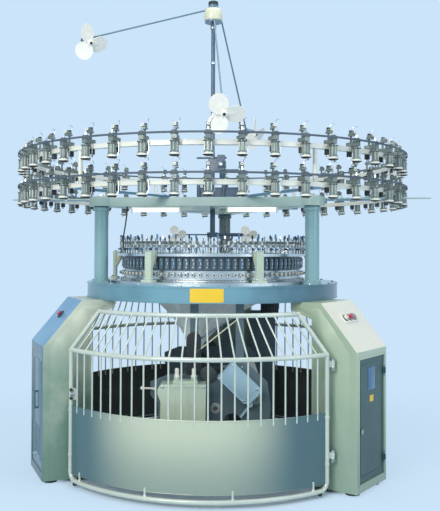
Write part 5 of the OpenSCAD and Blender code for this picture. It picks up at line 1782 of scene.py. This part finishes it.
@dataclass
class Cloth:
    """The knitted tube, the flat web below the rollers and the wound roll."""

    turn: float = 7.0
    top_r: float = 0.399
    top_z: float = 1.034
    hang_z: float = 1.002
    low_z: float = 0.552
    nip_x: float = -0.110
    half: float = 0.518
    folds: int = 34
    fold_depth: float = 0.0065
    around: int = 272
    levels: int = 40
    web_half: float = 0.512
    roll_at: tuple[float, float] = (0.237, 0.470)

    def tube_point(self, a: float, t: float) -> Vector:
        """Gives a point of the tube.

        Args:
            a: angle round the tube, in radians.
            t: 0 at the needles, 1 at the nip.
        Returns:
            The point in the take-down's own frame.
        """
        straight = (self.top_z - self.hang_z) / (self.top_z - self.low_z)
        t, height = max(0.0, (t - straight) / (1 - straight)), self.top_z + (self.low_z - self.top_z) * t
        s = 1 - (1 - t) ** 2.1
        x = (1 - s) * self.top_r * math.cos(a) + s * (self.nip_x + 0.0035 * math.cos(a))
        y = (1 - s) * self.top_r * math.sin(a) + s * self.half * math.sin(a)
        swell = math.sin(math.pi * min(1.0, t * 1.02)) ** 0.8
        depth = self.fold_depth * swell * (0.7 + 0.3 * math.sin(3 * a + 1.0))
        wave = math.sin(self.folds * a + 1.7 * math.sin(2 * a) + 0.8 * t)
        wave += 0.45 * math.sin(0.5 * self.folds * a + 2.2 + 1.5 * t)
        radial = Vector((math.cos(a), math.sin(a), 0))
        return Vector((x, y, height)) + radial * (depth * wave - 0.004 * swell)

    def tube(self) -> None:
        """Makes the folded tube."""
        shape = Shape("knitted_tube").use(KNIT)
        bm = shape.bm
        bmesh.ops.create_circle(bm, cap_ends=False, segments=self.around, radius=1.0)
        angle_of = bm.verts.layers.float.new("angle")
        level_of = bm.verts.layers.float.new("level")
        for v in bm.verts:
            v[angle_of] = (math.atan2(v.co.y, v.co.x) - math.pi / 2) % math.tau
        row = list(bm.edges)
        for k in range(1, self.levels + 1):
            fresh, row = grow(bm, row)
            for v in fresh:
                v[level_of] = k / self.levels
        place = turned(self.turn)
        for v in bm.verts:
            v.co = place @ self.tube_point(v[angle_of] + math.pi / 2, v[level_of])
        uv = bm.loops.layers.uv.new("UVMap")
        for face in bm.faces:
            wrap = max(l.vert[angle_of] for l in face.loops) - min(l.vert[angle_of] for l in face.loops) > math.pi
            for l in face.loops:
                a = l.vert[angle_of] + (math.tau if wrap and l.vert[angle_of] < math.pi else 0.0)
                l[uv].uv = (a / math.tau, l.vert[level_of])
        bmesh.ops.recalc_face_normals(bm, faces=bm.faces)
        area = sum(f.calc_area() for f in bm.faces)
        piece = shape.done("rotor", "knit_cloth", sharp=180, replaces=["fabric_tube"])
        wide = round(math.tau * self.top_r, 3)
        round(area / wide, 3)

    def web(self) -> None:
        """Makes the flattened tube that runs from the nip under the guide roller to the roll."""
        line = [(self.nip_x, self.low_z), (self.nip_x, 0.500), (-0.102, 0.470), (-0.070, 0.441), (-0.030, 0.414),
                (0.002, 0.399), (0.020, 0.3945), (0.040, 0.3985), (0.090, 0.4000), (0.150, 0.4035),
                (0.205, 0.4085), (0.232, 0.4088)]
        shape = Shape("cloth_web").use(KNIT)
        bm = shape.bm
        start = [bm.verts.new((line[0][0], y, line[0][1])) for y in (-self.web_half, self.web_half)]
        row = [bm.edges.new(start)]
        for x, z in line[1:]:
            fresh, row = grow(bm, row)
            for v in fresh:
                v.co.x, v.co.z = x, z
        uv = bm.loops.layers.uv.new("UVMap")
        for face in bm.faces:
            for l in face.loops:
                l[uv].uv = (l.vert.co.y, l.vert.co.x + l.vert.co.z)
        bmesh.ops.transform(bm, matrix=turned(self.turn), verts=bm.verts)
        piece = shape.done("rotor", "knit_cloth", sharp=60)

    def roll(self) -> None:
        """Winds the roll on its shaft and adds the hand knob."""
        shape = Shape("cloth_roll_wound").use(KNIT)
        place = turned(self.turn) @ at(self.roll_at[0], 0, self.roll_at[1], rx=-90)
        ends = [(0.0262, -0.518), (0.044, -0.5165), (0.050, -0.5185), (0.056, -0.5168), (0.0595, -0.512)]
        body = [(0.0600 + 0.0005 * math.sin(k * 1.9), -0.505 + 1.01 * k / 24) for k in range(25)]
        shape.lathe(ends + body + [(r, -z) for r, z in reversed(ends)], place, 64)
        bm = shape.bm
        uv = bm.loops.layers.uv.new("UVMap")
        back = place.inverted()
        for face in bm.faces:
            angles = [math.atan2((back @ l.vert.co).y, (back @ l.vert.co).x) for l in face.loops]
            wrap = max(angles) - min(angles) > math.pi
            for l, a in zip(face.loops, angles):
                l[uv].uv = ((back @ l.vert.co).z, (a + (math.tau if wrap and a < 0 else 0)) * 0.06)
        shape.use(STEEL)
        shape.rod(0.026, 1.140, place @ at(z=-0.570), 28)
        shape.rod(0.012, 1.200, place @ at(z=-0.590), 20)
        shape.use(BLACK).lathe([(0.0, 0.612), (0.020, 0.613), (0.0245, 0.620), (0.0245, 0.645), (0.020, 0.651),
                                (0.0, 0.651)], place, 24)
        shape.done("cloth_roll", "knit_cloth", replaces=["cloth_roll"])

    def build(self) -> None:
        """Makes the cloth."""
        self.tube()
        self.web()
        self.roll()


# ---- drive and cabinet side -------------------------------------------------------------

@dataclass
class Drive:
    """Flange and bolts of the motor, and the door, louvres, lock and lid of the oil cabinet."""

    gear_angle: float = 62.0
    motor_r: float = 0.690
    oiler_x: float = 0.267
    oiler_y: float = 0.8335
    louvres: tuple[int, float, float] = (8, 0.120, 0.020)

    def build(self) -> None:
        """Makes the fittings of the motor and the oil cabinet."""
        shape = Shape("drive_fittings")
        place = turned(self.gear_angle) @ at(self.motor_r, 0, 0)
        shape.use(DARK_CAST).lathe([(0.0, 0.800), (0.050, 0.800), (0.057, 0.806), (0.057, 0.822), (0.0, 0.822)],
                                   place, 32)
        shape.use(BLACK).lathe([(0.0, 0.797), (0.040, 0.797), (0.040, 0.800), (0.0, 0.800)], place, 24)
        shape.use(STEEL)
        for k in range(6):
            shape.rod(0.006, 0.006, place @ turned(60 * k) @ at(0.052, 0, 0.9682), 6, soft=0.0008)
        x, y, (count, first, pitch) = self.oiler_x, self.oiler_y, self.louvres
        shape.use(SLATE).box((0.150, 0.003, 0.712), at(x, y, 0.415), soft=0.0013)
        for k in range(count):
            shape.box((0.100, 0.006, 0.006), at(x, y + 0.0015, first + pitch * k, rx=28), soft=0.0018, steps=1)
        shape.use(BLACK).lathe([(0.0, 0.0), (0.015, 0.0), (0.013, 0.007), (0.0, 0.008)],
                               at(x + 0.058, y + 0.0015, 0.640, rx=-90), 20)
        shape.use(SLATE).box((0.182, 0.070, 0.010), at(x + 0.002, y - 0.0285, 0.832), soft=0.003)
        shape.use(POLISH)
        for side in (-0.064, 0.064):
            for z in (0.080, 0.760):
                shape.rod(0.005, 0.003, at(x + side, y + 0.001, z, rx=-90), 10, soft=0.0008)
        shape.done("machine", "cast_grey")


# ---- the construction's own nodes -------------------------------------------------------

class Machine:
    """The construction's own nodes."""

    def dress(self) -> None:
        """Gives each node its finish."""
        for finish, names in NODES_BY_FINISH.items():
            for name in names.split():
                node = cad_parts[name]
                node.data.materials.clear()
                node.data.materials.append(finish.material())
            LOG.info("%s: %s", finish.name, names)


def main() -> None:
    """Builds the whole scene."""
    logging.basicConfig(level=logging.INFO, format="%(message)s")
    Studio().build()
    HangingLead().build()
    Machine().dress()
    Legs().build()
    CabinetDoor().build()
    Bed().build()
    for guard in Guard:
        GuardDoor(guard).build()
    Head().build()
    for ring in FeederRing:
        Feeders(ring).build()
    Top().build()
    Fans().build()
    TakeDown().build()
    Cloth().build()
    Drive().build()


if __name__ == "__main__":
    main()
